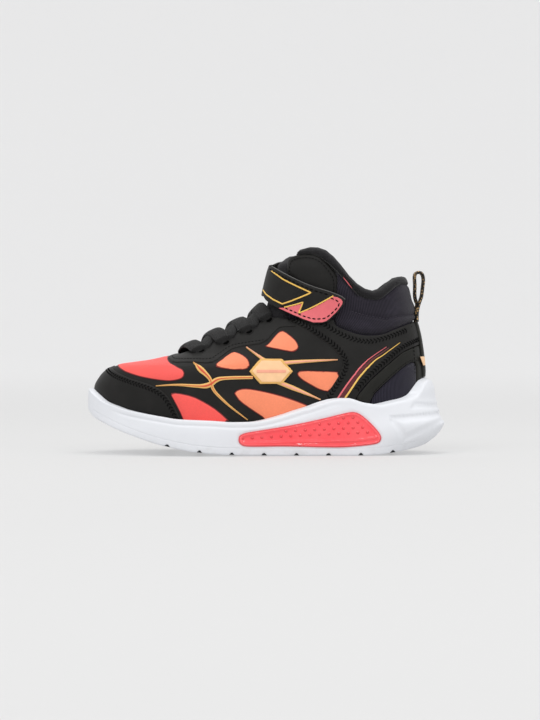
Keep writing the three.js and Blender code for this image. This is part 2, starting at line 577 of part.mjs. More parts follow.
// ---- ankle strap ---------------------------------------------------------------------------
const strapLayer = layer(STRAP_IN, STRAP_OUT);
const foldLine = (shift) => {
  const at = (z) => FOLD.x + FOLD.lean * (z - FOLD.z) + shift;
  return [[at(60), 60], [at(150), 150]];
};
const aheadOfFold = prism([[-130, 60], ...foldLine(0), [-130, 150]], 0.2, 80);
const behindFold = prism([...foldLine(GAP), [130, 150], [130, 60]], 0.2, 80);
const innerStrap = strapLayer.intersect(prism(STRAP_ROOT_SIDE, 0, 80));
add('strap_band', strapLayer.intersect(prism(STRAP, -80, 0.4)).add(innerStrap.intersect(aheadOfFold)), 'webbing');
add('strap_root', innerStrap.intersect(behindFold), 'webbing');
add('strap_anchor', layer(SECOND_IN, STRAP_IN - GAP).intersect(half(ANCHOR_PATCH, 1)), 'webbing');
add('loop_patch', layer(SECOND_IN, LOOP_PATCH_OUT).intersect(half(TAPE_PATCH, -1)), 'tape');
add('hook_patch', layer(HOOK_IN, HOOK_OUT).intersect(half(TAPE_PATCH, -1)), 'tape');

// ---- heel pull loop ------------------------------------------------------------------------
const LOOP_OUTER = [
  [93.2, 91.2], [92, 93.4], [91.3, 97], [91.1, 104], [91.1, 109.4], [92, 111.8], [94.4, 112.6],
  [96.8, 111.4], [97.8, 107.6], [97.6, 102.6], [96.4, 96], [95, 92.6], [94.4, 91.2],
];
const loopHole = grown(LOOP_OUTER, -LOOP_TAPE);
const loopRing = prism(LOOP_OUTER, -LOOP_WIDTH / 2, LOOP_WIDTH / 2);
const loopInner = prism(loopHole.slice(1, -1), -LOOP_WIDTH, LOOP_WIDTH);
add('pull_loop', loopRing.subtract(loopInner), 'webbing');
const LOOP_TAIL = [[93.3, 82], [94.5, 82], [94.5, 90.8], [93.3, 90.8]];
add('loop_tail', prism(LOOP_TAIL, -LOOP_WIDTH / 2, LOOP_WIDTH / 2), 'webbing');

export default shoe;
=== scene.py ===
"""Looks of a child's left high-top basketball shoe: cupsole, clear red side window,
panelled upper, crossed elastic laces, ankle strap, padded collar and heel pull loop."""

import math

import bmesh
import bpy
import numpy as np
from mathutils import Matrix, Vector, kdtree
from mathutils.geometry import delaunay_2d_cdt


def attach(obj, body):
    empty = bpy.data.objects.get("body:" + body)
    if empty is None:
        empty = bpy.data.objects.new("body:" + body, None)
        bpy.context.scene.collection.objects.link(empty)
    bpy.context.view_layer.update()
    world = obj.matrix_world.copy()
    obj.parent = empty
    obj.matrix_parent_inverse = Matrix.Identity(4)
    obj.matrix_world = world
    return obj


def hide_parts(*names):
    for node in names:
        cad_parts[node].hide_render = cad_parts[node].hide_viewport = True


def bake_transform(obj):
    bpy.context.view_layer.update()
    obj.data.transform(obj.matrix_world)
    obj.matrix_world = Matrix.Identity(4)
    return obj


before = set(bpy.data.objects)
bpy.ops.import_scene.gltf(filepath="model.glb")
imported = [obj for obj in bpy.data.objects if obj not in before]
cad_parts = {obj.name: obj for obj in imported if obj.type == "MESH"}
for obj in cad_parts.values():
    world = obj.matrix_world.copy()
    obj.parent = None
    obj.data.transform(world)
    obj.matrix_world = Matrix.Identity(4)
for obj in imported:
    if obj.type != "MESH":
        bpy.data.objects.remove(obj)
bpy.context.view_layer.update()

MM = 0.001
LATERAL, MEDIAL = -1, 1

# ---- the last: outlines and widths, in millimetres -----------------------------------
FRONT = [
    (8, -103), (30, -104.2), (40, -104.3), (46, -101.4), (50, -97.6), (53, -91.5), (54.4, -82),
    (55.8, -72), (58, -62), (60.6, -52), (65, -41.5), (70.4, -31.5), (75, -21.5), (80, -11),
    (84, -5), (89, -0.5), (94, 2), (100, 3.6), (106, 5), (112, 6.6), (118, 8.6), (124, 10),
    (132, 11),
]
BACK = [
    (8, 92), (20, 95), (40, 95.8), (50, 95.5), (61, 94.5), (72, 92.8), (77, 91.6), (82, 90.6),
    (88, 89.6), (96, 88.4), (101, 87.4), (105, 86), (109, 83.8), (116, 82), (132, 80),
]
PLAN_OUTER = [
    (-112, 31), (-90, 34), (-65, 37.5), (-42, 39.3), (-15, 36.8), (15, 33.5), (45, 31.5), (100, 31),
]
PLAN_INNER = [
    (-112, 33), (-90, 36), (-65, 38), (-42, 37), (-15, 33), (15, 30), (45, 30), (100, 31),
]
SHAFT = [(50, 30), (70, 28.5), (85, 27.8), (100, 29.5), (115, 31.5), (132, 32)]
FRONT_ROUND = [(8, 62), (60, 62), (80, 52), (95, 42), (132, 38)]
BACK_ROUND = 36
ROUNDNESS = 2.2
SOLE_TOP = [
    (-109.5, 40), (-105.5, 36.5), (-99.5, 32.3), (-93.5, 30.2), (-84, 27.5), (-63.5, 24),
    (-53, 22.5),
    (-41, 22), (-32, 21.6), (-20, 20.8), (-8, 21), (-0.5, 22), (11.5, 25), (21, 28), (28, 30),
    (37, 33),
    (43.5, 34.5), (50, 35), (54, 34), (58.5, 32.5), (64.5, 31.5), (69, 31), (75.5, 32), (82, 33.5),
    (87, 34.5), (92, 36.5), (95, 40), (97.5, 45), (99.5, 46.4),
]
SOLE_BOTTOM = [
    (-110, 27.5), (-108.5, 25), (-105.5, 22.3), (-101, 20), (-91, 15.5), (-77, 10.5), (-67.5, 7.5),
    (-59.5, 5.5), (-52, 3.9), (-41, 2.1), (-20.5, 0.6), (2.5, 0.2), (35, 0), (55.5, 0), (69, 0.6),
    (78, 1.6), (88.5, 3.4), (96.5, 5.2), (101, 7.5), (105, 10.5), (111, 16),
]
SOLE_FRONT = [(-2, -110), (27, -110), (36, -110), (41, -109.3), (50, -108)]
SOLE_BACK = [
    (-2, 95), (3, 97), (7.5, 101.4), (10.5, 104.8), (14.5, 108), (19, 110), (26, 107.2),
    (31.5, 105.6), (34.5, 104.7), (40, 104), (44, 102.6), (50, 99.5),
]
SOLE_FLARE = [(-2, 4.6), (6, 5.6), (14, 6.0), (24, 5.2), (50, 4.6)]
SOLE_FRONT_ROUND, SOLE_BACK_ROUND = 66, 42
BED = [(-114, 33), (-100, 28), (-85, 21.8), (-65, 16.2), (-40, 13), (0, 12), (40, 13.5), (114, 17)]
THROAT = [(-52, 8), (-45, 10), (-20, 13), (0, 17), (13.5, 23.5)]

# Depths of the layers over the face of the base upper, as the fitted parts hold them.
GAP = 0.3
CAGE_IN, CAGE_OUT = 0.25, 1.15
PANEL_IN, PANEL_OUT = 0.5, 1.55
OVERLAY_OUT = 1.7
SECOND_IN, SECOND_OUT = 2.0, 3.0
STRAP_IN, STRAP_OUT = 4.2, 5.8
LINING_OUT, LINING_IN = -3.9, -4.9
TONGUE_OUT = -3.4


def stations(table):
    """Smooth, monotone interpolation through (input, value) stations, for arrays."""
    xs, ys = np.array(table, float).T
    run = np.diff(xs)
    slope = np.diff(ys) / run
    tangent = np.empty_like(xs)
    tangent[0], tangent[-1] = slope[0], slope[-1]
    a, b = slope[:-1], slope[1:]
    with np.errstate(divide="ignore", invalid="ignore"):
        tangent[1:-1] = np.where(a * b <= 0, 0.0, 2 * a * b / (a + b))

    def at(value):
        v = np.clip(np.asarray(value, float), xs[0], xs[-1])
        i = np.clip(np.searchsorted(xs, v, side="right") - 1, 0, len(xs) - 2)
        u = (v - xs[i]) / run[i]
        u2, u3 = u * u, u * u * u
        return (
            (2 * u3 - 3 * u2 + 1) * ys[i]
            + (u3 - 2 * u2 + u) * run[i] * tangent[i]
            + (3 * u2 - 2 * u3) * ys[i + 1]
            + (u3 - u2) * run[i] * tangent[i + 1]
        )

    return at


front_x, back_x = stations(FRONT), stations(BACK)
plan_outer, plan_inner = stations(PLAN_OUTER), stations(PLAN_INNER)
shaft_width, front_round = stations(SHAFT), stations(FRONT_ROUND)
sole_top, sole_bottom = stations(SOLE_TOP), stations(SOLE_BOTTOM)
sole_front, sole_back = stations(SOLE_FRONT), stations(SOLE_BACK)
sole_flare, bed, throat_half = stations(SOLE_FLARE), stations(BED), stations(THROAT)


def ease(a, b, v):
    u = np.clip((v - a) / (b - a), 0, 1)
    return u * u * (3 - 2 * u)


def end_round(u):
    return np.power(1 - np.power(1 - np.clip(u, 0, 1), ROUNDNESS), 1 / ROUNDNESS)


def centre_line(x):
    return 3 * np.power(np.clip(-x / 110, 0, 1), 1.5)


class Skin:
    """A closed face round the shoe. A place on it is (q, z): q runs from -1 at the back,
    along the outer side to 0 at the front, and along the inner side to 1 at the back."""

    def __init__(self, front, back, width, front_length, back_length, low, high):
        self.front, self.back, self.width = front, back, width
        self.front_length, self.back_length = front_length, back_length
        levels = np.linspace(low, high, 300)
        climb = np.hypot(np.gradient(front(levels), levels), 1.0)
        self.levels = levels
        self.climb = np.concatenate(
            [[0], np.cumsum((climb[1:] + climb[:-1]) / 2 * np.diff(levels))]
        )
        q = np.linspace(-1, 0, 80)
        girth = []
        for z in levels[::10]:
            ring = self.point(q, np.full_like(q, z))
            girth.append(np.sum(np.linalg.norm(np.diff(ring, axis=0), axis=1)))
        self.girth_levels, self.girth = levels[::10], np.array(girth)

    def point(self, q, z, depth=0.0):
        q = (np.asarray(q, float) + 1) % 2 - 1
        z = np.asarray(z, float)
        t = np.abs(q)
        side = np.where(q < 0, -1.0, 1.0)
        start, end = self.front(z), self.back(z)
        x = start + (end - start) * (1 - np.cos(np.pi * t)) / 2
        shape = end_round(
            (x - start) / self.front_length(z)
        ) * end_round((end - x) / self.back_length)
        y = centre_line(x) + side * self.width(x, z, side) * shape
        p = np.stack([x, y, z + 0 * x], axis=-1)
        if np.any(np.asarray(depth) != 0):
            p = p + self.normal(q, z) * np.asarray(depth)[..., None]
        return p

    def normal(self, q, z):
        dq = self.point(q + 0.006, z) - self.point(q - 0.006, z)
        dz = self.point(q, z + 0.4) - self.point(q, z - 0.4)
        n = np.cross(dz, dq)
        return n / np.maximum(np.linalg.norm(n, axis=-1, keepdims=True), 1e-9)

    def q_of(self, x, z, side):
        start, end = self.front(z), self.back(z)
        t = np.arccos(np.clip(1 - 2 * (x - start) / (end - start), -1, 1)) / np.pi
        return side * t

    def flat(self, q, z, anchor):
        """Unrolls (q, z) to millimetres along and up, measured from the front or the back."""
        wide = np.interp(z, self.girth_levels, self.girth)
        if anchor == "back":
            q = np.where(q < 0, -1 - q, 1 - q)
        return np.stack([q * wide, np.interp(z, self.levels, self.climb)], axis=-1)

    def unflat(self, uv, anchor):
        z = np.interp(uv[:, 1], self.climb, self.levels)
        q = uv[:, 0] / np.interp(z, self.girth_levels, self.girth)
        if anchor == "back":
            q = np.where(q < 0, -1 - q, 1 - q)
        return q, z


def upper_width(x, z, side):
    plan = np.where(side < 0, plan_outer(x), plan_inner(x))
    tuck = 1 - 0.1 * (1 - ease(10, 36, z))
    mix = ease(46, 84, z)
    return plan * tuck * (1 - mix) + shaft_width(z) * mix


def sole_width(x, z, side):
    return np.where(side < 0, plan_outer(x), plan_inner(x)) + sole_flare(z)


UPPER = Skin(front_x, back_x, upper_width, front_round, BACK_ROUND, 8, 132)
SOLE = Skin(
    sole_front, sole_back, sole_width, lambda z: SOLE_FRONT_ROUND, SOLE_BACK_ROUND, -2, 50
)


# ---- mesh tools ----------------------------------------------------------------------
def resample(points, spacing):
    """Points about `spacing` apart along a run of points, keeping its corners."""
    points = [np.array(p, float) for p in points]
    out = [points[0]]
    for a, b in zip(points, points[1:]):
        count = max(1, int(round(np.linalg.norm(b - a) / spacing)))
        out += [a + (b - a) * k / count for k in range(1, count + 1)]
    return np.array(out)


def softened(points, rounds=2, closed=True):
    """Corner cutting, for outlines that are smooth curves on the shoe."""
    pts = [np.array(p, float) for p in points]
    for _ in range(rounds):
        out = []
        pairs = list(zip(pts, pts[1:] + pts[:1])) if closed else list(zip(pts, pts[1:]))
        for a, b in pairs:
            out += [a * 0.75 + b * 0.25, a * 0.25 + b * 0.75]
        pts = out if closed else [pts[0], *out, pts[-1]]
    return np.array(pts)


def inside(points, loop):
    x, y = points[:, 0], points[:, 1]
    hit = np.zeros(len(points), bool)
    ax, ay = loop[:, 0], loop[:, 1]
    bx, by = np.roll(ax, -1), np.roll(ay, -1)
    for x0, y0, x1, y1 in zip(ax, ay, bx, by):
        if y0 == y1:
            continue
        crossing = (y0 > y) != (y1 > y)
        hit ^= crossing & (x < (x1 - x0) * (y - y0) / (y1 - y0) + x0)
    return hit


def edge_distance(points, border):
    tree = kdtree.KDTree(len(border))
    for i, p in enumerate(border):
        tree.insert(Vector(p), i)
    tree.balance()
    return np.array([tree.find(Vector(p))[2] for p in points])


def placed(name, data):
    """An object of the scene that holds a mesh, a lamp or a camera."""
    obj = bpy.data.objects.new(name, data)
    bpy.context.scene.collection.objects.link(obj)
    return obj


def mesh_object(name, vertices, faces, uv=None, edge=None, sharp=40):
    """A mesh object at the origin, from millimetres, with its flat pattern as UVs."""
    mesh = bpy.data.meshes.new(name)
    mesh.from_pydata((np.asarray(vertices) * MM).tolist(), [], [list(map(int, f)) for f in faces])
    if uv is not None:
        layer = mesh.uv_layers.new(name="pattern")
        corner = np.zeros(len(mesh.loops), dtype=np.int32)
        mesh.loops.foreach_get("vertex_index", corner)
        layer.data.foreach_set("uv", (np.asarray(uv)[corner] * MM).astype(np.float32).ravel())
    if edge is not None:
        mark = mesh.attributes.new("edge", "FLOAT", "POINT")
        mark.data.foreach_set("value", np.asarray(edge, dtype=np.float32))
    mesh.validate()
    mesh.shade_smooth()
    mesh.set_sharp_from_angle(angle=math.radians(sharp))
    return placed(name, mesh)


def dress(obj, material, body="shoe_body", replaces=()):
    """Gives a piece its finish, the body it moves with and the fitted parts it stands for."""
    obj.data.materials.clear()
    obj.data.materials.append(material)
    if body:
        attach(obj, body)
    if replaces:
        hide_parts(*replaces)
    return obj


def on_side(points, side):
    """(x, z) points as places (x, z, side)."""
    return np.column_stack([np.array(points, float), np.full(len(points), side)])


def one_side(outline, side, rounds=1):
    """A closed (x, z) outline on one side as places, its corners cut `rounds` times."""
    return on_side(softened(outline, rounds) if rounds else outline, side)


def both_sides(path):
    """An open (x, z) path that starts and ends on the middle line, closed by its mirror."""
    return np.vstack([on_side(path, LATERAL), on_side(path[::-1], MEDIAL)])


def band_round(first, second):
    """The places round a band that passes the middle: one (x, z) edge, then the other."""
    back = [on_side(second, MEDIAL), on_side(second[::-1], LATERAL)]
    return np.vstack([both_sides(first), *back])


def dense(places, spacing=1.6):
    """Adds places between neighbours on one side, so straight runs stay straight in side view."""
    out = [places[0]]
    for a, b in zip(places[:-1], places[1:]):
        same = a[2] == b[2]
        count = max(1, int(np.hypot(*(b - a)[:2]) / spacing)) if same else 1
        out += [a + (b - a) * k / count for k in range(1, count + 1)]
    return np.array(out)


def cut_piece(
    name, places, inner, outer, skin=UPPER, anchor="front", step=1.7, rim=0.9, lip=0.35, puff=None
):
    """A sheet cut to an outline and laid on a skin, with a rounded edge.
    places: (x, z, side) round the outline. puff(q, z, uv, edge) adds depth to the face."""
    places = np.asarray(places, float)
    places = dense(np.vstack([places, places[:1]]))[:-1]
    q = skin.q_of(places[:, 0], places[:, 1], places[:, 2])
    corners = skin.flat(q, places[:, 1], anchor)
    loop = resample(np.vstack([corners, corners[:1]]), step * 0.8)[:-1]
    keep = [0]
    for i in range(1, len(loop)):
        if np.linalg.norm(loop[i] - loop[keep[-1]]) > 0.25 * step:
            keep.append(i)
    loop = loop[keep]
    low, high = loop.min(axis=0), loop.max(axis=0)
    gx, gy = np.meshgrid(np.arange(low[0], high[0], step), np.arange(low[1], high[1], step * 0.87))
    gx[1::2] += step / 2
    grid = np.column_stack([gx.ravel(), gy.ravel()])
    grid = grid[inside(grid, loop)]
    near = edge_distance(
        np.column_stack([grid, np.zeros(len(grid))]), np.column_stack([loop, np.zeros(len(loop))])
    ) if len(grid) else np.zeros(0)
    grid = grid[near > 0.45 * step]
    # extra rows close to the edge carry its rounding
    rows = [loop]
    tangent = np.roll(loop, -1, axis=0) - np.roll(loop, 1, axis=0)
    tangent /= np.maximum(np.linalg.norm(tangent, axis=1, keepdims=True), 1e-9)
    area = np.sum(loop[:, 0] * np.roll(loop[:, 1], -1) - np.roll(loop[:, 0], -1) * loop[:, 1])
    inward = np.column_stack([-tangent[:, 1], tangent[:, 0]]) * (1 if area > 0 else -1)
    flat_border = np.column_stack([loop, np.zeros(len(loop))])
    for reach in (0.25 * rim, 0.6 * rim):
        row = loop + inward * reach
        good = inside(row, loop)
        gap = edge_distance(np.column_stack([row, np.zeros(len(row))]), flat_border)
        rows.append(row[good & (gap > 0.8 * reach)])
    if len(grid):
        gap = edge_distance(np.column_stack([grid, np.zeros(len(grid))]), flat_border)
        rows.append(grid[gap > 0.6 * rim + 0.4 * step])
    flat_points = np.vstack(rows)
    count = len(loop)
    edges = [(i, (i + 1) % count) for i in range(count)]
    result = delaunay_2d_cdt([Vector(p) for p in flat_points], edges, [], 1, 1e-4)
    uv = np.array([tuple(v) for v in result[0]])
    triangles = [tuple(f) for f in result[2]]
    qq, zz = skin.unflat(uv, anchor)
    ground = skin.point(qq, zz)
    normal = skin.normal(qq, zz)
    ends = {}
    for tri in triangles:
        for a, b in zip(tri, tri[1:] + tri[:1]):
            ends[(a, b)] = ends.get((a, b), 0) + 1
    border = [pair for pair in ends if (pair[1], pair[0]) not in ends]
    rim_ids = sorted({i for pair in border for i in pair})
    edge = edge_distance(ground, ground[rim_ids])
    profile = np.sqrt(np.clip(1 - (1 - np.clip(edge / rim, 0, 1)) ** 2, 0, 1))
    depth = inner + (outer - inner) * (lip + (1 - lip) * profile)
    if puff is not None:
        depth = depth + puff(qq, zz, uv, edge) * profile
    top = ground + normal * depth[:, None]
    under = ground + normal * inner
    total = len(top)
    a, b, c = (top[list(k)] for k in zip(*triangles))
    facing = np.sum(np.cross(b - a, c - a) * normal[[t[0] for t in triangles]])
    if facing < 0:
        triangles = [t[::-1] for t in triangles]
        border = [(j, i) for i, j in border]
    faces = list(triangles) + [tuple(total + i for i in t[::-1]) for t in triangles]
    faces += [(j, i, total + i, total + j) for i, j in border]
    return mesh_object(
        name, np.vstack([top, under]), faces, np.vstack([uv, uv]), np.concatenate([edge, 0 * edge])
    )


def flat_run(places, skin, anchor, spacing, smooth):
    """A run of places on one side, smoothed in side view, as points on the unrolled skin."""
    places = np.asarray(places, float)
    if smooth:
        line = softened(places[:, :2], smooth, closed=False)
        places = on_side(line, places[0, 2])
    places = dense(places, 1.2)
    q = skin.q_of(places[:, 0], places[:, 1], places[:, 2])
    return resample(skin.flat(q, places[:, 1], anchor), spacing)


def ribbon(
    name, places, widths, inner, outer, skin=UPPER, anchor="front", across=7, spacing=0.7,
    crown=0.6, smooth=2
):
    """A raised line or tape that follows a run of places (x, z, side) on a skin."""
    run = flat_run(places, skin, anchor, spacing, smooth)
    return flat_ribbon(name, run, widths, inner, outer, skin, anchor, across, crown)


def carriage(run, skin, anchor):
    """Points, outward directions and sideways directions along a run on the unrolled skin."""
    qq, zz = skin.unflat(run, anchor)
    centre, normal = skin.point(qq, zz), skin.normal(qq, zz)
    tangent = np.gradient(centre, axis=0)
    beside = np.cross(tangent, normal)
    if len(run) > 9:
        weights = np.array([1, 2, 3, 2, 1]) / 9
        for k in range(3):
            padded = np.concatenate(
                [beside[:1, k].repeat(2), beside[:, k], beside[-1:, k].repeat(2)]
            )
            beside[:, k] = np.convolve(padded, weights, "valid")
    beside /= np.maximum(np.linalg.norm(beside, axis=1, keepdims=True), 1e-9)
    return centre, normal, beside


def flat_ribbon(
    name, run, widths, inner, outer, skin=UPPER, anchor="front", across=7, crown=0.6, lift=None
):
    """A tape along a run on the unrolled skin. widths: (share of the run, width) stations."""
    length = np.concatenate([[0], np.cumsum(np.linalg.norm(np.diff(run, axis=0), axis=1))])
    share = length / length[-1]
    wide = np.interp(share, *zip(*widths)) if not np.isscalar(widths) else np.full(len(run), widths)
    centre, normal, beside = carriage(run, skin, anchor)
    rise = lift(share) if lift is not None else np.zeros(len(run))
    rows, uvs, edges = [], [], []
    stations_across = [
        (-1 + 2 * k / (across - 1), True) for k in range(across)
    ] + [(1, False), (-1, False)]
    for s, raised in stations_across:
        bulge = (1 - crown) + crown * math.sqrt(max(0.0, 1 - abs(s) ** 3)) if raised else 0.0
        height = inner + (outer - inner) * bulge + rise
        rows.append(centre + beside * (s * wide / 2)[:, None] + normal * height[:, None])
        uvs.append(np.column_stack([length, s * wide / 2]))
        edges.append((1 - abs(s)) * wide / 2 if raised else np.zeros(len(run)))
    return loft(name, rows, uvs, edges)


def loft(name, rows, uvs=None, edges=None, sharp=40, ends=True):
    """A closed skin through rows of equal length, joined round from the last to the first."""
    n, m = len(rows), len(rows[0])
    vertices = np.vstack(rows)
    faces = []
    for k in range(n):
        nxt = (k + 1) % n
        for i in range(m - 1):
            faces.append((k * m + i, k * m + i + 1, nxt * m + i + 1, nxt * m + i))
    if ends:
        faces.append(tuple(k * m for k in range(n)))
        faces.append(tuple(k * m + m - 1 for k in reversed(range(n))))
    uv = None if uvs is None else np.vstack(uvs)
    edge = None if edges is None else np.concatenate(edges)
    obj = mesh_object(name, vertices, faces, uv, edge, sharp)
    return outward(obj)


def outward(obj):
    """Turns every face of a closed mesh outwards."""
    work = bmesh.new()
    work.from_mesh(obj.data)
    bmesh.ops.recalc_face_normals(work, faces=work.faces)
    work.to_mesh(obj.data)
    work.free()
    return obj


def throat_edge(allowance=0.0, first=-52.0, last=13.5, count=40):
    """Where the throat's side edge lies on the skin, as (x, z) from the front upward."""
    line = []
    for x in np.linspace(first, last, count):
        want = float(throat_half(x)) + allowance
        levels = np.linspace(46, 128, 500)
        q = UPPER.q_of(np.full(500, x), levels, np.full(500, 1))
        there = UPPER.point(q, levels)
        ok = (UPPER.front(levels) <= x) & (there[:, 1] - centre_line(x) >= want)
        if ok.any():
            line.append((x, float(levels[ok][-1])))
    return line


# ---- finishes ------------------------------------------------------------------------
class Wire:
    """A shader value that can be added, multiplied and compared like a number."""

    def __init__(self, finish, socket):
        self.finish, self.socket = finish, socket

    def _with(self, operation, a, b=None):
        values = {0: a} if b is None else {0: a, 1: b}
        return self.finish.node("ShaderNodeMath", {"operation": operation}, values)

    def __add__(self, other):
        return self._with("ADD", self, other)

    def __radd__(self, other):
        return self._with("ADD", other, self)

    def __sub__(self, other):
        return self._with("SUBTRACT", self, other)

    def __rsub__(self, other):
        return self._with("SUBTRACT", other, self)

    def __mul__(self, other):
        return self._with("MULTIPLY", self, other)

    def __rmul__(self, other):
        return self._with("MULTIPLY", other, self)

    def __truediv__(self, other):
        return self._with("DIVIDE", self, other)

    def __pow__(self, other):
        return self._with("POWER", self, other)

    def sin(self):
        return self._with("SINE", self)

    def absolute(self):
        return self._with("ABSOLUTE", self)

    def fraction(self):
        return self._with("FRACT", self)

    def ramp(self, low, high):
        """0 below low, 1 above high, smooth between."""
        return self.finish.node(
            "ShaderNodeMapRange",
            {"interpolation_type": "SMOOTHSTEP"},
            {"Value": self, "From Min": low, "From Max": high},
        )


class Finish:
    """A material under construction. Its constants are set on the shader's own sockets."""

    def __init__(self, name, **constants):
        self.material = bpy.data.materials.new(name)
        self.material.use_nodes = True
        self.tree = self.material.node_tree
        self.shader = self.tree.nodes["Principled BSDF"]
        for socket, value in constants.items():
            self.shader.inputs[socket.replace("_", " ")].default_value = value

    def node(self, kind, settings=None, values=None, out=0):
        made = self.tree.nodes.new(kind)
        for key, value in (settings or {}).items():
            setattr(made, key, value)
        for key, value in (values or {}).items():
            if isinstance(value, Wire):
                self.tree.links.new(value.socket, made.inputs[key])
            else:
                made.inputs[key].default_value = value
        return Wire(self, made.outputs[out])

    def place(self):
        return self.node("ShaderNodeTexCoord", out="Object")

    def pattern(self):
        return self.node("ShaderNodeUVMap", {"uv_map": "pattern"})

    def edge(self):
        return self.node("ShaderNodeAttribute", {"attribute_name": "edge"}, out="Fac")

    def split(self, vector):
        parts = self.node("ShaderNodeSeparateXYZ", values={0: vector})
        sockets = parts.socket.node.outputs
        return [Wire(self, sockets[i]) for i in range(3)]

    def noise(self, vector, scale, detail=3.0, roughness=0.55):
        return self.node(
            "ShaderNodeTexNoise", None,
            {"Vector": vector, "Scale": scale, "Detail": detail, "Roughness": roughness}
        )

    def cells(self, vector, scale, feature="F1", out="Distance"):
        return self.node(
            "ShaderNodeTexVoronoi", {"feature": feature}, {"Vector": vector, "Scale": scale}, out
        )

    def mix(self, share, a, b):
        made = self.node("ShaderNodeMix", {"data_type": "RGBA"}, {"Factor": share}, out=2)
        node = made.socket.node
        for index, value in ((6, a), (7, b)):
            if isinstance(value, Wire):
                self.tree.links.new(value.socket, node.inputs[index])
            else:
                node.inputs[index].default_value = (*value, 1.0)
        return made

    def colour(self, value):
        self.put("Base Color", value)

    def put(self, socket, value):
        if isinstance(value, Wire):
            self.tree.links.new(value.socket, self.shader.inputs[socket])
        elif isinstance(value, tuple) and len(value) == 3:
            self.shader.inputs[socket].default_value = (*value, 1.0)
        else:
            self.shader.inputs[socket].default_value = value

    def relief(self, height, distance, strength=1.0):
        """Bump from a height of 0 to 1, as deep as `distance` metres."""
        bump = self.node(
            "ShaderNodeBump", None, {"Height": height, "Distance": distance, "Strength": strength}
        )
        self.put("Normal", bump)


def shade(colour, amount):
    return tuple(c * amount for c in colour)


def synthetic_leather(name, colour, roughness=0.52, wear=0.0, edge_tone=None, grain=0.00004):
    """Smooth coated leather with a fine pebble grain; its cut edge is a little lighter."""
    f = Finish(name, Specular_IOR_Level=0.17)
    where = f.place()
    cells = f.cells(where, 1500.0)
    cloud = f.noise(where, 90.0, 4.0)
    fine = f.noise(where, 2600.0, 2.0)
    tone = f.mix(cloud.ramp(0.3, 0.75), shade(colour, 0.82), shade(colour, 1.2))
    tone = f.mix(cells.ramp(0.0, 0.5), shade(colour, 0.9), tone)
    rim = 1 - f.edge().ramp(0.1, 0.9)
    f.colour(f.mix(rim * (0.55 + wear), tone, edge_tone or shade(colour, 2.2)))
    f.put("Roughness", cloud * 0.14 + (roughness - 0.07) + rim * 0.06)
    f.relief(cells * 0.7 + fine * 0.3, grain, 0.8)
    return f.material


def film_over_mesh(name, colour, edge_colour):
    """Bright film fused over a fine mesh, darker along its welded edge."""
    f = Finish(name, Specular_IOR_Level=0.4)
    along, up, _ = f.split(f.pattern())
    weave = ((along * 5200.0).sin() * (up * 5200.0).sin()).absolute()
    where = f.place()
    cloud = f.noise(where, 45.0, 3.0)
    speck = f.cells(where, 900.0)
    body = f.mix(cloud.ramp(0.3, 0.7), shade(colour, 0.9), colour)
    body = f.mix(weave * 0.16 + speck.ramp(0.35, 0.6) * 0.08, body, shade(colour, 0.62))
    rim = 1 - f.edge().ramp(0.45, 0.8)
    f.colour(f.mix(rim, body, edge_colour))
    f.put("Roughness", cloud * 0.12 + 0.44)
    f.relief(weave * 0.6 + speck * 0.4, 0.00006, 0.7)
    return f.material


def knitted(name, colour, pitch=0.0009, depth=0.00012, roughness=0.88, sheen=0.1):
    """A knit seen close: rows of small loops that lean both ways."""
    f = Finish(name, Sheen_Weight=sheen, Specular_IOR_Level=0.1)
    along, up, _ = f.split(f.pattern())
    turn = 2 * math.pi / pitch
    zig = ((up * turn).sin() * 0.9 + along * turn).sin() * 0.5 + 0.5
    rows = (up * (turn * 0.5)).sin().absolute()
    cloud = f.noise(f.place(), 120.0, 3.0)
    height = zig * 0.6 + rows * 0.4
    f.colour(f.mix(height * 0.6 + cloud * 0.4, shade(colour, 0.45), shade(colour, 1.6)))
    f.put("Roughness", cloud * 0.1 + (roughness - 0.05))
    f.relief(height, depth, 0.9)
    return f.material


def ribbed(name, colour, glint, pitch=0.0011, depth=0.0002):
    """Corded fabric: upright ribs with a fine cross weave and a painted glint in patches on the rib
    tops.
    """
    f = Finish(name, Sheen_Weight=0.14, Specular_IOR_Level=0.12)
    along, up, _ = f.split(f.pattern())
    wobble = f.noise(f.place(), 160.0, 2.0) * 0.9
    rib = ((along * (2 * math.pi / pitch)) + wobble).sin() * 0.5 + 0.5
    cross = (up * (2 * math.pi / (pitch * 0.55))).sin() * 0.5 + 0.5
    cloud = f.noise(f.place(), 70.0, 3.0)
    height = rib * 0.8 + cross * 0.2
    body = f.mix(rib.ramp(0.1, 0.9), shade(colour, 0.4), shade(colour, 1.35))
    # painted highlight: the glint colour laid in patches on the rib tops
    body = f.mix(cloud.ramp(0.55, 0.8) * rib * 0.35, body, glint)
    f.colour(body)
    f.put("Roughness", 0.9 - rib * 0.12)
    f.relief(height, depth, 1.0)
    return f.material


def woven_tape(name, colour, fleck=None, pitch=0.0008, depth=0.00014, roughness=0.75):
    """Narrow woven tape: lengthways cords crossed by a tight weft."""
    f = Finish(name, Sheen_Weight=0.06, Specular_IOR_Level=0.14)
    along, across, _ = f.split(f.pattern())
    cords = (across * (2 * math.pi / pitch)).sin() * 0.5 + 0.5
    weft = (
        along * (2 * math.pi / (pitch * 0.8)) + (across * (math.pi / pitch)).sin() * 2.2
    ).sin() * 0.5 + 0.5
    cloud = f.noise(f.place(), 150.0, 3.0)
    height = cords * 0.45 + weft * 0.55
    body = f.mix(height * 0.7 + cloud * 0.3, shade(colour, 0.45), shade(colour, 1.7))
    if fleck:
        spots = f.cells(f.place(), 620.0)
        body = f.mix((1 - spots.ramp(0.24, 0.42)) * 0.9, body, fleck)
    f.colour(body)
    f.put("Roughness", roughness - weft * 0.12)
    f.relief(height, depth, 0.9)
    return f.material


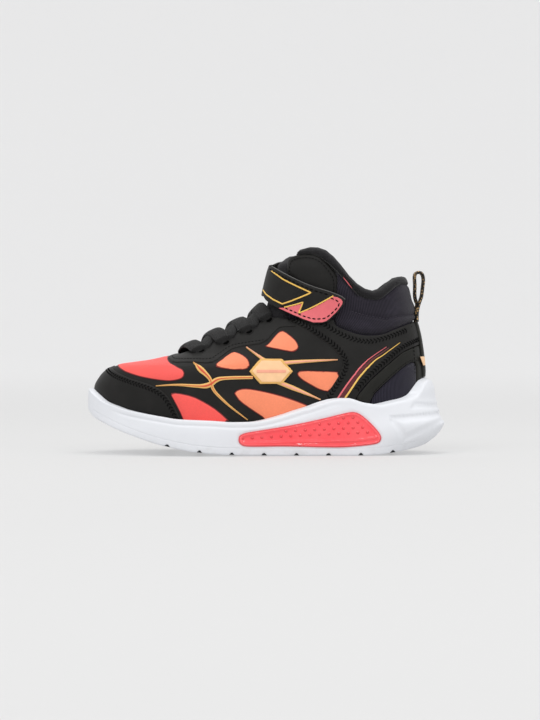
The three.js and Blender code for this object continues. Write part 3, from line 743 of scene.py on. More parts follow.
def moulded_rubber(name, colour, roughness=0.5, grime=0.15):
    """Pale moulded foam rubber with a soft skin, faint clouding and dust low down."""
    f = Finish(name, Specular_IOR_Level=0.4)
    where = f.place()
    cloud = f.noise(where, 22.0, 5.0, 0.6)
    fine = f.noise(where, 1800.0, 2.0)
    pits = f.cells(where, 2600.0)
    z = f.split(where)[2]
    low = 1 - z.ramp(0.0, 0.012)
    dust = low * f.noise(where, 160.0, 4.0).ramp(0.45, 0.75) * grime
    body = f.mix(cloud.ramp(0.3, 0.7), shade(colour, 0.965), colour)
    f.colour(f.mix(dust, body, (0.42, 0.40, 0.37)))
    f.put("Roughness", cloud * 0.12 + (roughness - 0.05) + dust * 0.2)
    f.relief(fine * 0.6 + pits * 0.4, 0.00003, 0.7)
    return f.material


def clear_red(name, deep, bright):
    """Clear red moulding, glossy, deeper in colour where it is thick; it also glows faintly in its
    bright colour, a painted glow.
    """
    # painted glow: the bright red is also given as emission, so the plastic shines though no lamp
    # is inside it
    f = Finish(name, Coat_Weight=1.0, Coat_Roughness=0.04, IOR=1.45, Emission_Strength=0.07)
    f.put("Emission Color", bright)
    where = f.place()
    cloud = f.noise(where, 60.0, 3.0)
    inner = f.edge().ramp(0.6, 1.6)
    body = f.mix(cloud.ramp(0.3, 0.7) * 0.3 + inner * 0.6, bright, deep)
    f.colour(body)
    f.put("Roughness", cloud * 0.1 + 0.12)
    f.relief(f.noise(where, 500.0, 2.0), 0.00003, 0.5)
    return f.material


def ink(name, colour, roughness=0.45, gloss=0.4):
    """Printed or welded colour with a slightly uneven surface."""
    f = Finish(name, Specular_IOR_Level=gloss)
    where = f.place()
    cloud = f.noise(where, 260.0, 3.0)
    speck = f.noise(where, 2200.0, 2.0)
    f.colour(f.mix(cloud.ramp(0.25, 0.75), shade(colour, 0.92), colour))
    f.put("Roughness", cloud * 0.15 + (roughness - 0.07))
    f.relief(speck, 0.00003, 0.6)
    return f.material


def thread(name, colour):
    f = Finish(name, Specular_IOR_Level=0.08)
    x, y, z = f.split(f.place())
    twist = ((x + z) * 9000.0 + y * 5000.0).sin() * 0.5 + 0.5
    f.colour(f.mix(twist, shade(colour, 0.55), shade(colour, 1.35)))
    f.put("Roughness", 0.62 + twist * 0.12)
    f.relief(twist, 0.00004, 0.7)
    return f.material


def pile(name, colour):
    """Fuzzy touch tape."""
    f = Finish(name, Sheen_Weight=0.5, Specular_IOR_Level=0.15)
    where = f.place()
    loops = f.cells(where, 1900.0)
    cloud = f.noise(where, 300.0, 4.0)
    f.colour(f.mix(loops.ramp(0.1, 0.6), shade(colour, 1.6), shade(colour, 0.4)))
    f.put("Roughness", cloud * 0.08 + 0.9)
    f.relief(loops * 0.7 + cloud * 0.3, 0.00025, 1.0)
    return f.material


def pressed_board(name, colour):
    f = Finish(name, Specular_IOR_Level=0.2)
    where = f.place()
    fibres = f.noise(where, 700.0, 6.0, 0.7)
    cloud = f.noise(where, 60.0, 3.0)
    f.colour(f.mix(fibres.ramp(0.35, 0.65), shade(colour, 0.7), shade(colour, 1.15)))
    f.put("Roughness", cloud * 0.1 + 0.82)
    f.relief(fibres, 0.0001, 0.8)
    return f.material


BLACK = (0.0128, 0.0122, 0.0114)
GREENISH = (0.0130, 0.0128, 0.0108)
NAVY = (0.022, 0.019, 0.030)
RED = (0.98, 0.105, 0.09)
ORANGE = (0.98, 0.28, 0.14)
WINE = (0.16, 0.012, 0.014)
WHITE_RUBBER = (0.76, 0.775, 0.81)

leather_black = synthetic_leather("black_synthetic", BLACK)
leather_toe = synthetic_leather("toe_synthetic", shade(BLACK, 0.95), roughness=0.48)
leather_heel = synthetic_leather("heel_synthetic", GREENISH)
cage_film = synthetic_leather("cage_film", shade(BLACK, 1.05), roughness=0.6, grain=0.00002)
film_red = film_over_mesh("red_film", RED, WINE)
film_orange = film_over_mesh("orange_film", ORANGE, (0.22, 0.016, 0.012))
knit_base = knitted("base_knit", shade(NAVY, 0.8))
knit_lining = knitted("lining_knit", (0.017, 0.0165, 0.018), pitch=0.0012)
knit_roll = knitted("roll_knit", (0.0135, 0.013, 0.014), pitch=0.001, sheen=0.15)
knit_tongue = knitted("tongue_knit", (0.018, 0.017, 0.019), pitch=0.0014, depth=0.00018)
# the third colour of each corded fabric is its painted glint
rib_collar = ribbed("collar_cord", (0.0215, 0.0185, 0.0275), (0.10, 0.085, 0.13), pitch=0.00085)
rib_inset = ribbed("inset_cord", (0.021, 0.019, 0.031), (0.09, 0.085, 0.13), pitch=0.001)
lace_elastic = woven_tape("lace_elastic", (0.0115, 0.0112, 0.0112), pitch=0.0011, depth=0.0002)
strap_cloth = synthetic_leather("strap_synthetic", BLACK, roughness=0.55, wear=0.1)
loop_tape = woven_tape(
    "loop_webbing", (0.018, 0.016, 0.014), fleck=(0.62, 0.40, 0.18), pitch=0.0013
)
binding_tape = woven_tape("edge_binding", (0.03, 0.029, 0.028), pitch=0.0007)
rubber_white = moulded_rubber("sole_white", WHITE_RUBBER)
rubber_tread = moulded_rubber("tread_white", shade(WHITE_RUBBER, 0.985), roughness=0.58, grime=0.2)
window_red = clear_red("window_red", (0.90, 0.030, 0.048), (1.0, 0.13, 0.14))
stud_red = clear_red("stud_red", (0.62, 0.015, 0.025), (0.72, 0.03, 0.04))
web_gold = ink("web_gold", (0.80, 0.47, 0.14))
web_core = ink("web_core", (0.66, 0.095, 0.035))
line_pink = ink("line_pink", (0.78, 0.15, 0.17))
line_salmon = ink("line_salmon", (0.90, 0.40, 0.27))
line_yellow = ink("line_yellow", (0.90, 0.56, 0.12))
line_wine = ink("line_wine", (0.10, 0.012, 0.018))
badge_peach = ink("badge_peach", (0.95, 0.60, 0.33))
thread_black = thread("thread_black", (0.0028, 0.0028, 0.0028))
thread_grey = thread("thread_grey", (0.055, 0.05, 0.065))
tape_fuzz = pile("touch_tape", (0.016, 0.016, 0.017))
board = pressed_board("fibre_board", (0.45, 0.40, 0.32))
eyelet_black = ink("eyelet_black", (0.010, 0.0095, 0.009), roughness=0.5, gloss=0.15)
# painted shade: a near-black matt finish for the discs that fill the eyelet holes
eyelet_hole_shade = ink("eyelet_hole_shade", (0.0012, 0.0012, 0.0012), roughness=0.9, gloss=0.02)
# painted shade: a dark finish for the fillets set into the tread's flex grooves, standing for the
# shade inside them
groove_shade_fill = ink("groove_shade_fill", (0.035, 0.036, 0.04), roughness=0.8, gloss=0.1)
cut_edge = woven_tape("cut_edge", (0.11, 0.108, 0.105), pitch=0.0007)


# ---- repeats made with geometry nodes ------------------------------------------------
def _tree(name, inputs):
    tree = bpy.data.node_groups.new(name, "GeometryNodeTree")
    tree.interface.new_socket("Geometry", in_out="INPUT", socket_type="NodeSocketGeometry")
    identifiers = {}
    for label, kind, value in inputs:
        socket = tree.interface.new_socket(label, in_out="INPUT", socket_type=kind)
        if value is not None:
            socket.default_value = value
        identifiers[label] = socket.identifier
    tree.interface.new_socket("Geometry", in_out="OUTPUT", socket_type="NodeSocketGeometry")
    return tree, identifiers


def _add(tree, kind, settings=None, **values):
    node = tree.nodes.new(kind)
    for key, value in (settings or {}).items():
        setattr(node, key, value)
    for key, value in values.items():
        node.inputs[key.replace("_", " ")].default_value = value
    return node


def row_of_stitches_tree():
    """Thread stitches along an edge mesh: even points on its curve, a capsule on each."""
    tree, ids = _tree(
        "row_of_stitches",
        [
            ("Pitch", "NodeSocketFloat", 0.0022),
            ("Stitch Length", "NodeSocketFloat", 0.0015),
            ("Thread Radius", "NodeSocketFloat", 0.00025),
            ("Lean", "NodeSocketFloat", 0.0),
            ("Thread", "NodeSocketMaterial", None),
        ],
    )
    start = _add(tree, "NodeGroupInput")
    end = _add(tree, "NodeGroupOutput")
    to_curve = _add(tree, "GeometryNodeMeshToCurve")
    even = _add(tree, "GeometryNodeCurveToPoints", {"mode": "LENGTH"})
    capsule = _add(tree, "GeometryNodeMeshUVSphere", Segments=6, Rings=4, Radius=1.0)
    size = _add(tree, "ShaderNodeCombineXYZ")
    shape = _add(tree, "GeometryNodeTransform")
    lean = _add(tree, "FunctionNodeRotateRotation", {"rotation_space": "LOCAL"})
    turn = _add(tree, "FunctionNodeAxisAngleToRotation", Axis=(1.0, 0.0, 0.0))
    place = _add(tree, "GeometryNodeInstanceOnPoints")
    real = _add(tree, "GeometryNodeRealizeInstances")
    finish = _add(tree, "GeometryNodeSetMaterial")
    half = _add(tree, "ShaderNodeMath", {"operation": "MULTIPLY"})
    half.inputs[1].default_value = 0.5
    links = (
        (start, "Geometry", to_curve, "Mesh"),
        (to_curve, "Curve", even, "Curve"),
        (start, "Pitch", even, "Length"),
        (start, "Stitch Length", half, 0),
        (half, 0, size, "Z"),
        (start, "Thread Radius", size, "X"),
        (start, "Thread Radius", size, "Y"),
        (capsule, "Mesh", shape, "Geometry"),
        (size, "Vector", shape, "Scale"),
        (even, "Points", place, "Points"),
        (shape, "Geometry", place, "Instance"),
        (start, "Lean", turn, "Angle"),
        (even, "Rotation", lean, "Rotation"),
        (turn, "Rotation", lean, "Rotate By"),
        (lean, "Rotation", place, "Rotation"),
        (place, "Instances", real, "Geometry"),
        (real, "Geometry", finish, "Geometry"),
        (start, "Thread", finish, "Material"),
        (finish, "Geometry", end, "Geometry"),
    )
    for source, output, target, entry in links:
        tree.links.new(source.outputs[output], target.inputs[entry])
    return tree, ids


def studs_on_points_tree():
    """Small domes on the points of a mesh, standing along each point's `facing`."""
    tree, ids = _tree(
        "studs_on_points",
        [
            ("Stud Width", "NodeSocketFloat", 0.0022),
            ("Stud Height", "NodeSocketFloat", 0.0005),
            ("Stretch", "NodeSocketFloat", 1.0),
            ("Stud Finish", "NodeSocketMaterial", None),
        ],
    )
    start = _add(tree, "NodeGroupInput")
    end = _add(tree, "NodeGroupOutput")
    dome = _add(tree, "GeometryNodeMeshUVSphere", Segments=12, Rings=6, Radius=1.0)
    size = _add(tree, "ShaderNodeCombineXYZ")
    half = _add(tree, "ShaderNodeMath", {"operation": "MULTIPLY"})
    half.inputs[1].default_value = 0.5
    wide = _add(tree, "ShaderNodeMath", {"operation": "MULTIPLY"})
    shape = _add(tree, "GeometryNodeTransform")
    facing = _add(
        tree, "GeometryNodeInputNamedAttribute", {"data_type": "FLOAT_VECTOR"}, Name="facing"
    )
    upright = _add(tree, "FunctionNodeAlignRotationToVector", {"axis": "Z", "pivot_axis": "X"})
    place = _add(tree, "GeometryNodeInstanceOnPoints")
    real = _add(tree, "GeometryNodeRealizeInstances")
    finish = _add(tree, "GeometryNodeSetMaterial")
    links = (
        (start, "Stud Width", half, 0),
        (half, 0, wide, 0),
        (start, "Stretch", wide, 1),
        (wide, 0, size, "X"),
        (half, 0, size, "Y"),
        (start, "Stud Height", size, "Z"),
        (dome, "Mesh", shape, "Geometry"),
        (size, "Vector", shape, "Scale"),
        (start, "Geometry", place, "Points"),
        (shape, "Geometry", place, "Instance"),
        (facing, "Attribute", upright, "Vector"),
        (upright, "Rotation", place, "Rotation"),
        (place, "Instances", real, "Geometry"),
        (real, "Geometry", finish, "Geometry"),
        (start, "Stud Finish", finish, "Material"),
        (finish, "Geometry", end, "Geometry"),
    )
    for source, output, target, entry in links:
        tree.links.new(source.outputs[output], target.inputs[entry])
    return tree, ids


STITCHES, STITCH_IDS = row_of_stitches_tree()
STUDS, STUD_IDS = studs_on_points_tree()


def grown(name, obj, tree, ids, values):
    """Runs a node tree on a seed object and keeps the result as a plain mesh."""
    modifier = obj.modifiers.new("repeat", "NODES")
    modifier.node_group = tree
    for label, value in values.items():
        modifier[ids[label]] = value
    bpy.context.view_layer.update()
    seen = obj.evaluated_get(bpy.context.evaluated_depsgraph_get())
    mesh = bpy.data.meshes.new_from_object(seen)
    seed = obj.data
    bpy.data.objects.remove(obj)
    bpy.data.meshes.remove(seed)
    mesh.name = name
    mesh.shade_smooth()
    return placed(name, mesh)


def stitched(
    name, lines, material=None, body="shoe_body", pitch=2.2, length=1.5, radius=0.25, lean=0.0,
):
    """Rows of stitches. lines: runs of points in millimetres, already at the thread's height."""
    vertices, edges = [], []
    for line in lines:
        base = len(vertices)
        vertices += (np.asarray(line) * MM).tolist()
        edges += [(base + i, base + i + 1) for i in range(len(line) - 1)]
    mesh = bpy.data.meshes.new(name + "_line")
    mesh.from_pydata(vertices, edges, [])
    seed = placed(name + "_line", mesh)
    material = material or thread_black
    values = {
        "Pitch": pitch * MM,
        "Stitch Length": length * MM,
        "Thread Radius": radius * MM,
        "Lean": lean,
        "Thread": material,
    }
    obj = grown(name, seed, STITCHES, STITCH_IDS, values)
    return dress(obj, material, body)


def studded(
    name, points, facings, material, body="shoe_body", width=2.2, height=0.5, stretch=1.0
):
    mesh = bpy.data.meshes.new(name + "_points")
    mesh.from_pydata((np.asarray(points) * MM).tolist(), [], [])
    facing = mesh.attributes.new("facing", "FLOAT_VECTOR", "POINT")
    facing.data.foreach_set("vector", np.asarray(facings, dtype=np.float32).ravel())
    seed = placed(name + "_points", mesh)
    values = {
        "Stud Width": width * MM,
        "Stud Height": height * MM,
        "Stretch": stretch,
        "Stud Finish": material,
    }
    obj = grown(name, seed, STUDS, STUD_IDS, values)
    return dress(obj, material, body)


def skin_line(places, depth, skin=UPPER, anchor="front", spacing=0.8, smooth=2, shift=0.0):
    """A run of places (x, z, side) as points in millimetres, smoothed, at a depth."""
    run = flat_run(places, skin, anchor, spacing, smooth)
    centre, normal, beside = carriage(run, skin, anchor)
    return centre + beside * shift + normal * depth


# ---- outlines of the panels, in side view (x, z) -------------------------------------
TOE_CAP = [
    (-98.6, 56), (-97, 55.6), (-96.2, 53.4), (-91.4, 49.8), (-84.5, 47.2), (-77, 45), (-70, 43.2),
    (-63.5, 40.4),
    (-59, 36.4), (-55.6, 30.8), (-52.4, 25), (-51, 20), (-63, 21), (-84, 24.5), (-93, 27),
    (-99, 29.5), (-112, 33),
]
def ridge(x):
    """Height of the middle line of the upper over the toes at x."""
    levels = np.linspace(56, 128, 1600)
    return float(np.interp(x, front_x(levels), levels))


VAMP_PANEL = [
    (-93.6, ridge(-93.6)), (-93.0, 54.2), (-87.5, 50.4), (-79.5, 48), (-71.5, 46.4), (-60, 45),
    (-54.5, 45.4),
    (-50.5, 46.5), (-48.5, 49), (-49.5, 51.8), (-53, 53), (-57.5, 54.5), (-59.5, 57),
    (-59.2, ridge(-59.2)),
]
LOWER_PANEL = [
    (-58, 38), (-53.5, 38.5), (-44, 36.5), (-36, 32.5), (-29, 28), (-20, 19.5), (-49.3, 19.5),
    (-51, 25), (-54.5, 32),
]
MIDDLE_PANEL = [
    (-31.5, 53.8), (-26.5, 57.5), (-23, 60), (-20, 62), (-16.5, 61.6), (-12.5, 59.5), (-10, 57),
    (-9.5, 54.5),
    (-11, 52.5), (-14.5, 52), (-20, 52), (-26, 52.6),
]
WAIST_PANEL = [
    (-19.5, 38), (-17.5, 40), (-13.5, 41), (-8, 40.5), (-0.5, 39), (7.5, 37), (15.5, 34.5),
    (23.5, 31.5),
    (29, 29), (29, 26), (-1, 19.5), (-0.5, 22.5), (-8, 27.5), (-16, 33), (-18.5, 36.5),
]
UPPER_PANEL = [
    (-1, 65.5), (1.5, 67), (6, 72.4), (9, 75), (11.5, 75), (17.5, 70.5), (19.5, 67.5), (20, 65),
    (18, 63),
    (15.5, 62.5), (9.5, 63.5), (3.5, 64.6),
]
REAR_PANEL = [
    (18.5, 49), (19.5, 51), (22.5, 51.5), (35, 51.2), (46.5, 50.6), (39, 38.5), (33, 39.5),
    (27.5, 42.5), (21.5, 46),
]
EYESTAY_EDGE = [
    (-58.5, 70), (-58.5, 57), (-56.5, 55), (-45.5, 55.6), (-33, 55), (-28, 58), (-21, 63.5),
    (-16.5, 65),
    (-10.5, 66), (-0.5, 67.5), (7, 76), (10.5, 77.5), (19, 77.8), (13.5, 82.5),
]
SADDLE = [
    (13.4, 82.4), (24, 76.6), (33.2, 70.7), (40.3, 65.3), (45.6, 59.3), (46.9, 55.2), (45.5, 50.9),
    (41.6, 44.8),
    (36.4, 36.9), (35.4, 30), (54, 30), (55, 36.5), (63, 46), (72.5, 54.5), (82, 62.5), (89, 65.5),
    (96, 67.8), (112, 68), (112, 82), (92.5, 81.5), (85, 79), (77.5, 76), (70.5, 73), (63.5, 72.5),
    (56.5, 73), (49.5, 75.5), (42, 78.5), (41, 83.7),
]
FLAP = [
    (13.4, 84.1), (13.2, 100), (13.4, 117), (15, 120), (18.5, 121.8), (28, 122.6), (34.5, 119.6),
    (39, 114.6),
    (43.6, 108.6), (43.2, 98), (41.6, 84.1),
]
HEEL_INSET = [
    (64, 28), (64, 34), (66, 37.5), (70.5, 42), (77.5, 48.5), (84.5, 54.5), (88, 56.3), (90, 56),
    (91, 53.5),
    (91, 41.5), (90.4, 30),
]
CAGE_SIDE = [
    (-97, 18), (-97.4, 52), (-92, 55.2), (-60, 60), (-57, 58), (-40, 66), (-20, 72), (-2, 78),
    (14, 83),
    (28, 80), (40, 72), (50, 64), (50.5, 30), (40, 26), (-20, 15),
]
COLLAR_LOW = [
    (19, 122.9), (28, 123.2), (34.8, 120.2), (40.5, 115.4), (47.5, 108.5), (52.5, 102), (56, 97.8),
    (60, 95.4), (66.5, 93.6), (70.5, 94.8), (74.5, 98), (78.5, 101.4), (81.5, 103), (84, 103),
    (112, 101.6),
]
COLLAR_TOP = [
    (112, 107.8), (86, 108.2), (84.6, 109.6), (82.6, 110.2), (80, 109.6), (75.5, 106.5),
    (70.5, 102.4), (65.5, 100.8),
    (60.5, 102), (55.5, 105), (50.5, 110), (45.5, 116.5), (41, 121.5), (36, 125.5), (31, 127.2),
    (26, 127.5), (21, 126.4), (19, 124.5),
]
COLLAR_SEAM = [
    (42.4, 78.8), (49.6, 75.8), (56.6, 73.3), (63.5, 72.8), (70.4, 73.3), (77.4, 76.3), (85, 79.3),
    (92.5, 81.8), (112, 82.3),
]
WINDOW = [
    (-16.5, 9.5), (-15.5, 13.5), (-3, 15.5), (16, 18.5), (35, 22.5), (49, 26), (52.5, 26.5),
    (56, 25.8),
    (61, 22), (67.5, 15.5), (70, 11), (68.5, 8), (65, 7), (49, 5.4), (35, 5.4), (11, 6.2), (-1, 6),
    (-11.5, 6), (-15, 7),
]
STRAP_OUTER = [
    (-30, 114.2), (8.6, 113.4), (13.5, 110.6), (21.5, 106.5), (29.5, 103), (37.5, 100.5),
    (45.5, 97.5),
    (48, 95.5), (47.5, 92.5), (44, 87.5), (40, 83), (37.5, 80.5), (34.5, 79.5), (29, 79), (23, 81),
    (11, 87.5), (7, 89.8), (4.4, 92.4), (3.4, 95.4), (-30, 96),
]
STRAP_INNER = [
    (3.4, 95.4), (4.6, 92.4), (11, 87.5), (23, 81.5), (29, 79.5), (36, 79), (38, 101), (33, 107),
    (27, 113),
    (21, 117.2), (16, 118.2), (12, 116.8), (9.2, 115.0),
]
TAPE_PATCH = [(18, 88), (40, 87), (43, 95), (24, 101.5)]
ANCHOR_PATCH = [(17, 87), (34, 82), (35.5, 98.5), (19, 104)]
BADGE_CENTRE = (3, 51)
TREAD_THICKNESS = 4.5
GROOVE_PITCH, GROOVE_WIDTH, GROOVE_DEPTH = 19.5, 3.4, 1.6
GROOVES, FIRST_GROOVE = 8, -59.5
SIDES = (("lateral", LATERAL), ("medial", MEDIAL))


# ---- cupsole -------------------------------------------------------------------------
SOLE_COLUMNS = 640


def sole_levels(level_of):
    """Places round the sole whose height follows level_of(x)."""
    q = np.linspace(-1, 1, SOLE_COLUMNS, endpoint=False)
    z = np.full(SOLE_COLUMNS, 20.0)
    for _ in range(30):
        z = 0.6 * z + 0.4 * level_of(SOLE.point(q, z)[:, 0])
    return q, z


def bridged(rings, lifts, across):
    """Points and faces of a wall of rings, closed by a bridge across its first and last ring.
    lifts: for each bridge None, or a height to add from x, y and the share of the way over."""
    count = len(rings[0])
    half, inner = count // 2, across - 1
    share = np.linspace(0, 1, across + 1)[1:-1, None]
    vertices, faces = list(rings), []
    for k in range(len(rings) - 1):
        for i in range(count):
            j = (i + 1) % count
            faces.append((k * count + i, k * count + j, (k + 1) * count + j, (k + 1) * count + i))
    start = len(rings) * count
    for which, lift in zip((0, len(rings) - 1), lifts):
        ring, base = rings[which], which * count
        for i in range(1, half):
            line = ring[i] * (1 - share) + ring[count - i] * share
            if lift is not None:
                line[:, 2] += lift(line[:, 0], line[:, 1], share[:, 0])
            vertices.append(line)

        def vertex(i, k):
            if k == 0:
                return base + i
            return base + count - i if k == across else start + (i - 1) * inner + k - 1

        for i in range(1, half - 1):
            for k in range(across):
                faces.append(
                    (vertex(i, k), vertex(i + 1, k), vertex(i + 1, k + 1), vertex(i, k + 1))
                )
        for k in range(across):
            faces.append((base, vertex(1, k), vertex(1, k + 1)))
            faces.append((base + half, vertex(half - 1, k + 1), vertex(half - 1, k)))
        start += (half - 1) * inner
    return np.vstack(vertices), faces


def sole_wall(name, rings, lifts, across, material, node):
    """A layer of the sole from rings of points round it."""
    points, faces = bridged(rings, lifts, across)
    obj = outward(mesh_object(name, points, faces, sharp=50))
    return dress(obj, material, replaces=[node])


def notch(x):
    """Depth of the flex grooves across the tread."""
    at = (np.asarray(x) - FIRST_GROOVE) % GROOVE_PITCH
    away = np.minimum(at, GROOVE_PITCH - at)
    inside_run = (np.asarray(x) > -66) & (np.asarray(x) < 80)
    return np.where(
        inside_run, GROOVE_DEPTH * np.clip(1.5 - 1.5 * away / (GROOVE_WIDTH / 2), 0, 1), 0
    )


def tread_pattern(x, y, share):
    """Wavy grip ribs inside a plain border, with a pivot ring under the ball of the foot."""
    border = ease(0.0, 0.09, share) * ease(0.0, 0.09, 1 - share)
    wave = 2.6 * np.sin(y * 2 * np.pi / 15)
    away = np.abs((x + wave) / 6.2 % 1 - 0.5) * 2
    ribs = 1.1 * ease(0.62, 0.86, away)
    centre = np.hypot(x + 46, y - 1.5)
    rings = 1.1 * ease(0.62, 0.86, np.abs(centre / 4.6 % 1 - 0.5) * 2)
    ribs = np.where(centre < 19, rings, ribs)
    return notch(x) * (1 - border) + np.maximum(notch(x), ribs) * border - notch(x)


def outline_reach(x, z, outline):
    """Signed distance to a side outline: positive inside, in millimetres."""
    loop = resample(np.vstack([outline, outline[:1]]), 0.8)
    flat = np.column_stack([x, z])
    gap = np.full(len(flat), 1e9)
    for p in loop:
        gap = np.minimum(gap, np.hypot(flat[:, 0] - p[0], flat[:, 1] - p[1]))
    return np.where(inside(flat, np.array(outline, float)), gap, -gap)


HEEL_FRAME = [(75.5, 24), (105.5, 26), (110, 26), (110, 20), (84, 8.5), (81, 13.5), (75.5, 21)]
HEEL_LEDGE = [(90, 32.6), (110, 30.4), (110, 27.6), (88, 28.6)]


def wall_depth(q, z):
    """Sculpting of the sole wall: window seat, heel frame, heel ledge and toe bumper."""
    p = SOLE.point(q, z)
    x = p[:, 0]
    seat = outline_reach(x, z, softened(WINDOW, 1))
    depth = -0.55 * ease(-1.6, -0.2, seat)
    heel = outline_reach(x, z, HEEL_FRAME)
    depth = depth - 0.75 * ease(-0.5, 0.7, heel) + 0.75 * ease(1.8, 5.0, heel)
    ledge = outline_reach(x, z, HEEL_LEDGE)
    depth = depth - 0.6 * ease(-0.8, 1.2, ledge)
    top = sole_top(x)
    depth = depth - 0.45 * np.exp(
        -(((z - (top - 3.4)) / 0.75) ** 2)
    ) * ease(-96, -84, x) * ease(50, 36, x)
    return depth


def make_tread():
    rings = []
    for up, depth in (
        (0.0, -1.0), (0.18, -0.4), (0.6, -0.08), (1.4, 0.0), (2.4, 0.0), (3.4, 0.0), (4.2, 0.0),
        (4.5, -0.12)
    ):
        def level(x, up=up):
            base = sole_bottom(x) + notch(x) * (1 - up / TREAD_THICKNESS)
            return base + up

        q, z = sole_levels(level)
        rings.append(SOLE.point(q, z, np.full(len(q), depth)))
    sole_wall("tread", rings, (tread_pattern, None), 56, rubber_tread, "outsole")
    # Dark fillets laid in each flex groove are painted shade: they darken the grooves where shade
    # falls, not a rubber of another colour.
    corners = ((-1.55, 0.35), (1.55, 0.35), (0.62, 1.62), (-0.62, 1.62))
    count = 24
    for k, x in enumerate(FIRST_GROOVE + GROOVE_PITCH * np.arange(GROOVES)):
        z = np.array([sole_bottom(x) + 1.0])
        reach = []
        for side in (LATERAL, MEDIAL):
            q = SOLE.q_of(np.array([x]), z, np.array([side]))
            reach.append(float(SOLE.point(q, z)[0, 1]) * 0.985)
        y = np.linspace(*reach, count)
        lines = []
        for dx, up in corners:
            height = float(sole_bottom(x + dx)) + up
            lines.append(np.column_stack([np.full(count, x + dx), y, np.full(count, height)]))
        flats = [line[:, :2] for line in lines]
        obj = loft(f"tread_groove_{k + 1}", lines, flats, [np.full(count, 1.0)] * len(corners))
        dress(outward(obj), groove_shade_fill)


def make_cup():
    rings = []
    shares = np.concatenate([[0.0, 0.012], np.linspace(0.04, 0.93, 30), [0.965, 0.99, 1.0]])
    for share in shares:
        def level(x, share=share):
            low = sole_bottom(x) + TREAD_THICKNESS + 0.03
            return low + (sole_top(x) - low) * share

        q, z = sole_levels(level)
        depth = wall_depth(q, z)
        if share == 0.0:
            depth = depth - 0.1
        depth = depth - {0.965: 0.12, 0.99: 0.55, 1.0: 1.15}.get(float(share), 0.0)
        rings.append(SOLE.point(q, z, depth))
    q, z = sole_levels(sole_top)
    for drop, depth in ((-0.12, 2.6), (0.1, 1.75), (1.0, 1.62), (4.0, 1.6)):
        rings.append(UPPER.point(q, np.maximum(z - drop, 9), depth))
    floor = UPPER.point(q, np.maximum(z - 4.0, 9), 1.6)
    floor[:, 2] = np.minimum(floor[:, 2], bed(floor[:, 0]))
    rings.append(floor)
    sole_wall("cup_wall", rings, (None, None), 10, rubber_white, "midsole")


def make_windows():
    for label, side in SIDES:
        def belly(q, z, uv, edge):
            """Rounded rim, a shallow tray and a bright ridge low down."""
            x = SOLE.point(q, z)[:, 0]
            ridge_at = np.interp(x, [-17, 0, 35, 55, 66, 70], [8.0, 8.3, 8.8, 9.6, 11.2, 12.5])
            ridge = 1.0 * np.exp(-(((z - ridge_at) / 0.9) ** 2)) * ease(0.8, 2.2, edge)
            return ridge - 0.9 * ease(1.0, 2.2, edge)

        piece = cut_piece(
            f"window_{label}_lens", one_side(WINDOW, side, 2), -2.4, 0.7, SOLE, "front", 0.9, 1.1,
            0.25, belly
        )
        dress(piece, window_red, replaces=[f"window_{label}"])
        points, facings = [], []
        row = 0
        for z in np.arange(11.0, 26.0, 3.1):
            for x in np.arange(-14 + (row % 2) * 2.9, 68, 5.8):
                level = z + 0.045 * (x + 14)
                reach = outline_reach(np.array([x]), np.array([level]), WINDOW)[0]
                if reach > 2.1:
                    q = SOLE.q_of(np.array([x]), np.array([level]), side)
                    facing = SOLE.normal(q, np.array([level]))
                    points.append((SOLE.point(q, np.array([level])) + facing * -0.2)[0])
                    facings.append(facing[0])
            row += 1
        studded(
            f"window_{label}_studs", points, facings, stud_red, width=2.0, height=0.55,
        )
        edge_line = np.vstack([softened(WINDOW, 2), softened(WINDOW, 2)[:1]])
        places = on_side(edge_line, side)
        rim = ribbon(f"window_{label}_rim", places, 0.55, -0.5, 0.12, SOLE, "front", 5, 1.0, 0.5, 0)
        dress(rim, line_pink)


# ---- inside of the shoe --------------------------------------------------------------
THROAT_EDGE = throat_edge()


def base_outline(top_drop=0.0):
    path = [(-52, 60.6), *THROAT_EDGE, (13.5, 90), (13.5, 104), (13.5, 117.5 - top_drop)]
    path += [
        (x, z - top_drop) for x,
        z in ((15, 120), (18.5, 121.8), (28, 122.6), (34.5, 119.6), (39, 114.6), (43.4, 108.6))
    ]
    path += [(44.5, 98), (43.4, 84.1), *[(x, z + 1.5) for x, z in COLLAR_SEAM[:-1]], (112, 83.5)]
    return path + bed_line(1.2)


def bed_line(lift):
    """From the back seam to the toe along the top of the cup's floor."""
    return [(112, float(bed(96)) + lift)] + [
        (x, float(bed(x)) + lift) for x in np.linspace(94, -101, 30)
    ] + [(-112, float(bed(-102)) + lift)]


def make_base():
    path = base_outline(0.6)
    piece = cut_piece("knit_base", both_sides(path), -2.6, -0.05, UPPER, "front", 3.2, 0.9)
    dress(piece, knit_base, replaces=["vamp_base", "quarter_base"])
    path = [
        (-56, 60), *throat_edge(8.0, -55, 4, 24), (24, 84), (26, 96), (26, 118), (28, 120.4),
        (34, 118), (38.4, 113.4), (42.6, 107.4)
    ]
    path += [
        (42.6, 98), (42.2, 84), *[(x, z + 0.6) for x, z in COLLAR_SEAM[:-1]], (112, 83),
        *bed_line(4.5)
    ]
    piece = cut_piece(
        "foot_lining", both_sides(path), LINING_OUT, LINING_IN, UPPER, "front", 3.2, 0.9
    )
    outward(piece)
    dress(piece, knit_lining, replaces=["lining"])


